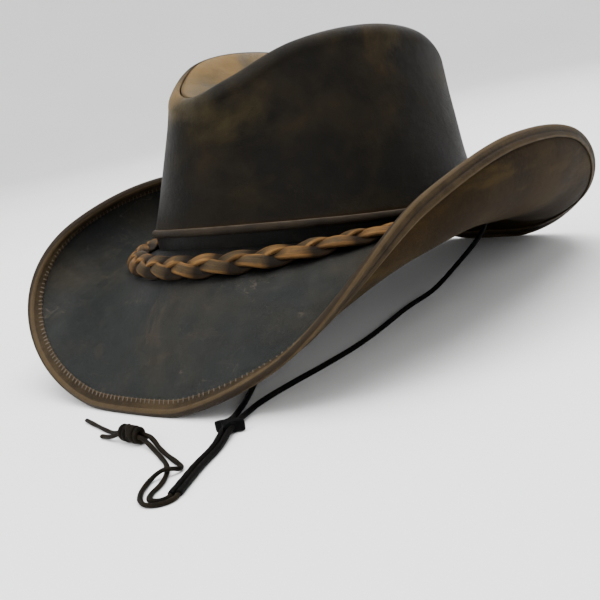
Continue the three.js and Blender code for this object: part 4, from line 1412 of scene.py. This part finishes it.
class HAT_OT_plait(bpy.types.Operator):
    """Makes the three interwoven strands of the plaited band"""

    bl_idname = "bush_hat.plait"
    bl_label = "Plaited Band"

    def execute(self, context):
        material = plait_leather()
        for index, name in enumerate(("plait_strand_a", "plait_strand_b", "plait_strand_c")):
            obj = self.strand(name, index)
            nodes = ("plaited_band",) if index == 0 else ()
            finish_piece(obj, material, nodes)
        return {"FINISHED"}

    def strand(self, name, index):
        """One flat strand: it swings from side to side once a wave and rises twice a wave, so that it
        passes over one neighbour and under the next, and it rolls over at the sides. Its section is
        an oval squared by powers, with a crowned face."""
        t = trim()
        count = 720
        turn = np.arange(count) * 360 / count
        phase = np.radians(turn * t.plait_repeats + 120 * index)
        swing = (t.plait_width - t.strap_width) / 2
        rise = (t.plait_thickness - t.strap_thickness) / 2 * 0.97
        out = PLAIT_INSET + t.plait_width / 2 + swing * np.sin(phase)
        over = form().leather / 2 + CLEARANCE + t.plait_thickness / 2 + rise * np.sin(2 * phase)
        centre = brim_point(turn, out, over)
        side, up = self.directions(turn, centre, brim_point(turn, out, over + 1 * MM) - centre)
        roll = np.radians(-20) * np.sin(phase)[:, None]
        side, up = side * np.cos(roll) + up * np.sin(roll), up * np.cos(roll) - side * np.sin(roll)

        a = np.radians(np.arange(0, 360, 20))
        half_width, half_thick = t.strap_width / 2, t.strap_thickness / 2
        x = np.sign(np.cos(a)) * np.abs(np.cos(a)) ** 0.62
        z = np.sign(np.sin(a)) * np.abs(np.sin(a)) ** 0.75
        z = z * half_thick + 0.22 * half_thick * (1 - x**2) * np.sign(z + 1e-9)
        rng = np.random.default_rng(20 + index)
        phase = phase[:, None]
        across = x * half_width * (1 + 0.05 * np.sin(3.7 * phase + rng.uniform(0, 6)))
        place = centre[:, None] + side[:, None] * across[..., None] + up[:, None] * z[None, :, None]

        # How tan the strand is changes from lobe to lobe, two to a wave
        lobes = 2 * t.plait_repeats
        tan = np.interp(turn * lobes / 360, np.arange(lobes + 1), rng.uniform(0, 1, lobes + 1))
        # Painted shade where the strand dips under its neighbours, strongest where it lies lowest
        low = np.clip(0.86 - 0.9 * np.sin(2 * phase), 0, 1) ** 1.2
        along = np.radians(turn)[:, None] * 0.11
        return loop_mesh(name, place, {"across": x, "along": along, "tan": tan[:, None], "low": low})

    def directions(self, turn, centre, over):
        """Outward and upward directions square to a strand's middle line, from a way over the brim."""
        ahead = np.roll(centre, -1, 0) - np.roll(centre, 1, 0)
        ahead /= np.linalg.norm(ahead, axis=1)[:, None]
        side = np.cross(ahead, over)
        side /= np.linalg.norm(side, axis=1)[:, None]
        side *= np.sign(np.einsum("ij,ij->i", side, foot_outward(turn)))[:, None]
        up = np.cross(side, ahead)
        return side, up * np.sign(up[:, 2:])


class HAT_PT_panel(bpy.types.Panel):
    """Lists the steps that build the hat, and its sizes and colours"""

    bl_label = "Bush Hat"
    bl_idname = "HAT_PT_panel"
    bl_space_type = "VIEW_3D"
    bl_region_type = "UI"
    bl_category = "Bush Hat"

    def draw(self, context):
        for step in STEPS:
            self.layout.operator(step.bl_idname)
        for group in ("hat_form", "hat_trim", "hat_cord", "hat_colours"):
            box = self.layout.box()
            values = getattr(context.scene, group)
            for key in values.__annotations__:
                box.prop(values, key)


GROUPS = {"hat_form": HatForm, "hat_trim": HatTrim, "hat_cord": HatCord, "hat_colours": HatColours}
STEPS = (HAT_OT_stage, HAT_OT_slide, HAT_OT_knot, HAT_OT_chin_cord, HAT_OT_laces, HAT_OT_brim,
         HAT_OT_binding, HAT_OT_crown, HAT_OT_plait)


def register():
    for group, kind in GROUPS.items():
        bpy.utils.register_class(kind)
        setattr(bpy.types.Scene, group, PointerProperty(type=kind))
    for kind in (*STEPS, HAT_PT_panel):
        bpy.utils.register_class(kind)


def unregister():
    for kind in (HAT_PT_panel, *reversed(STEPS)):
        bpy.utils.unregister_class(kind)
    for group, kind in GROUPS.items():
        delattr(bpy.types.Scene, group)
        bpy.utils.unregister_class(kind)


def main():
    register()
    for step in STEPS:
        package, name = step.bl_idname.split(".")
        getattr(getattr(bpy.ops, package), name)()
    boxes = {"cad": CAD_BOX, "visual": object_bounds()}
    {k: [list(corner) for corner in v] for k, v in boxes.items()}


if __name__ == "__main__":
    main()
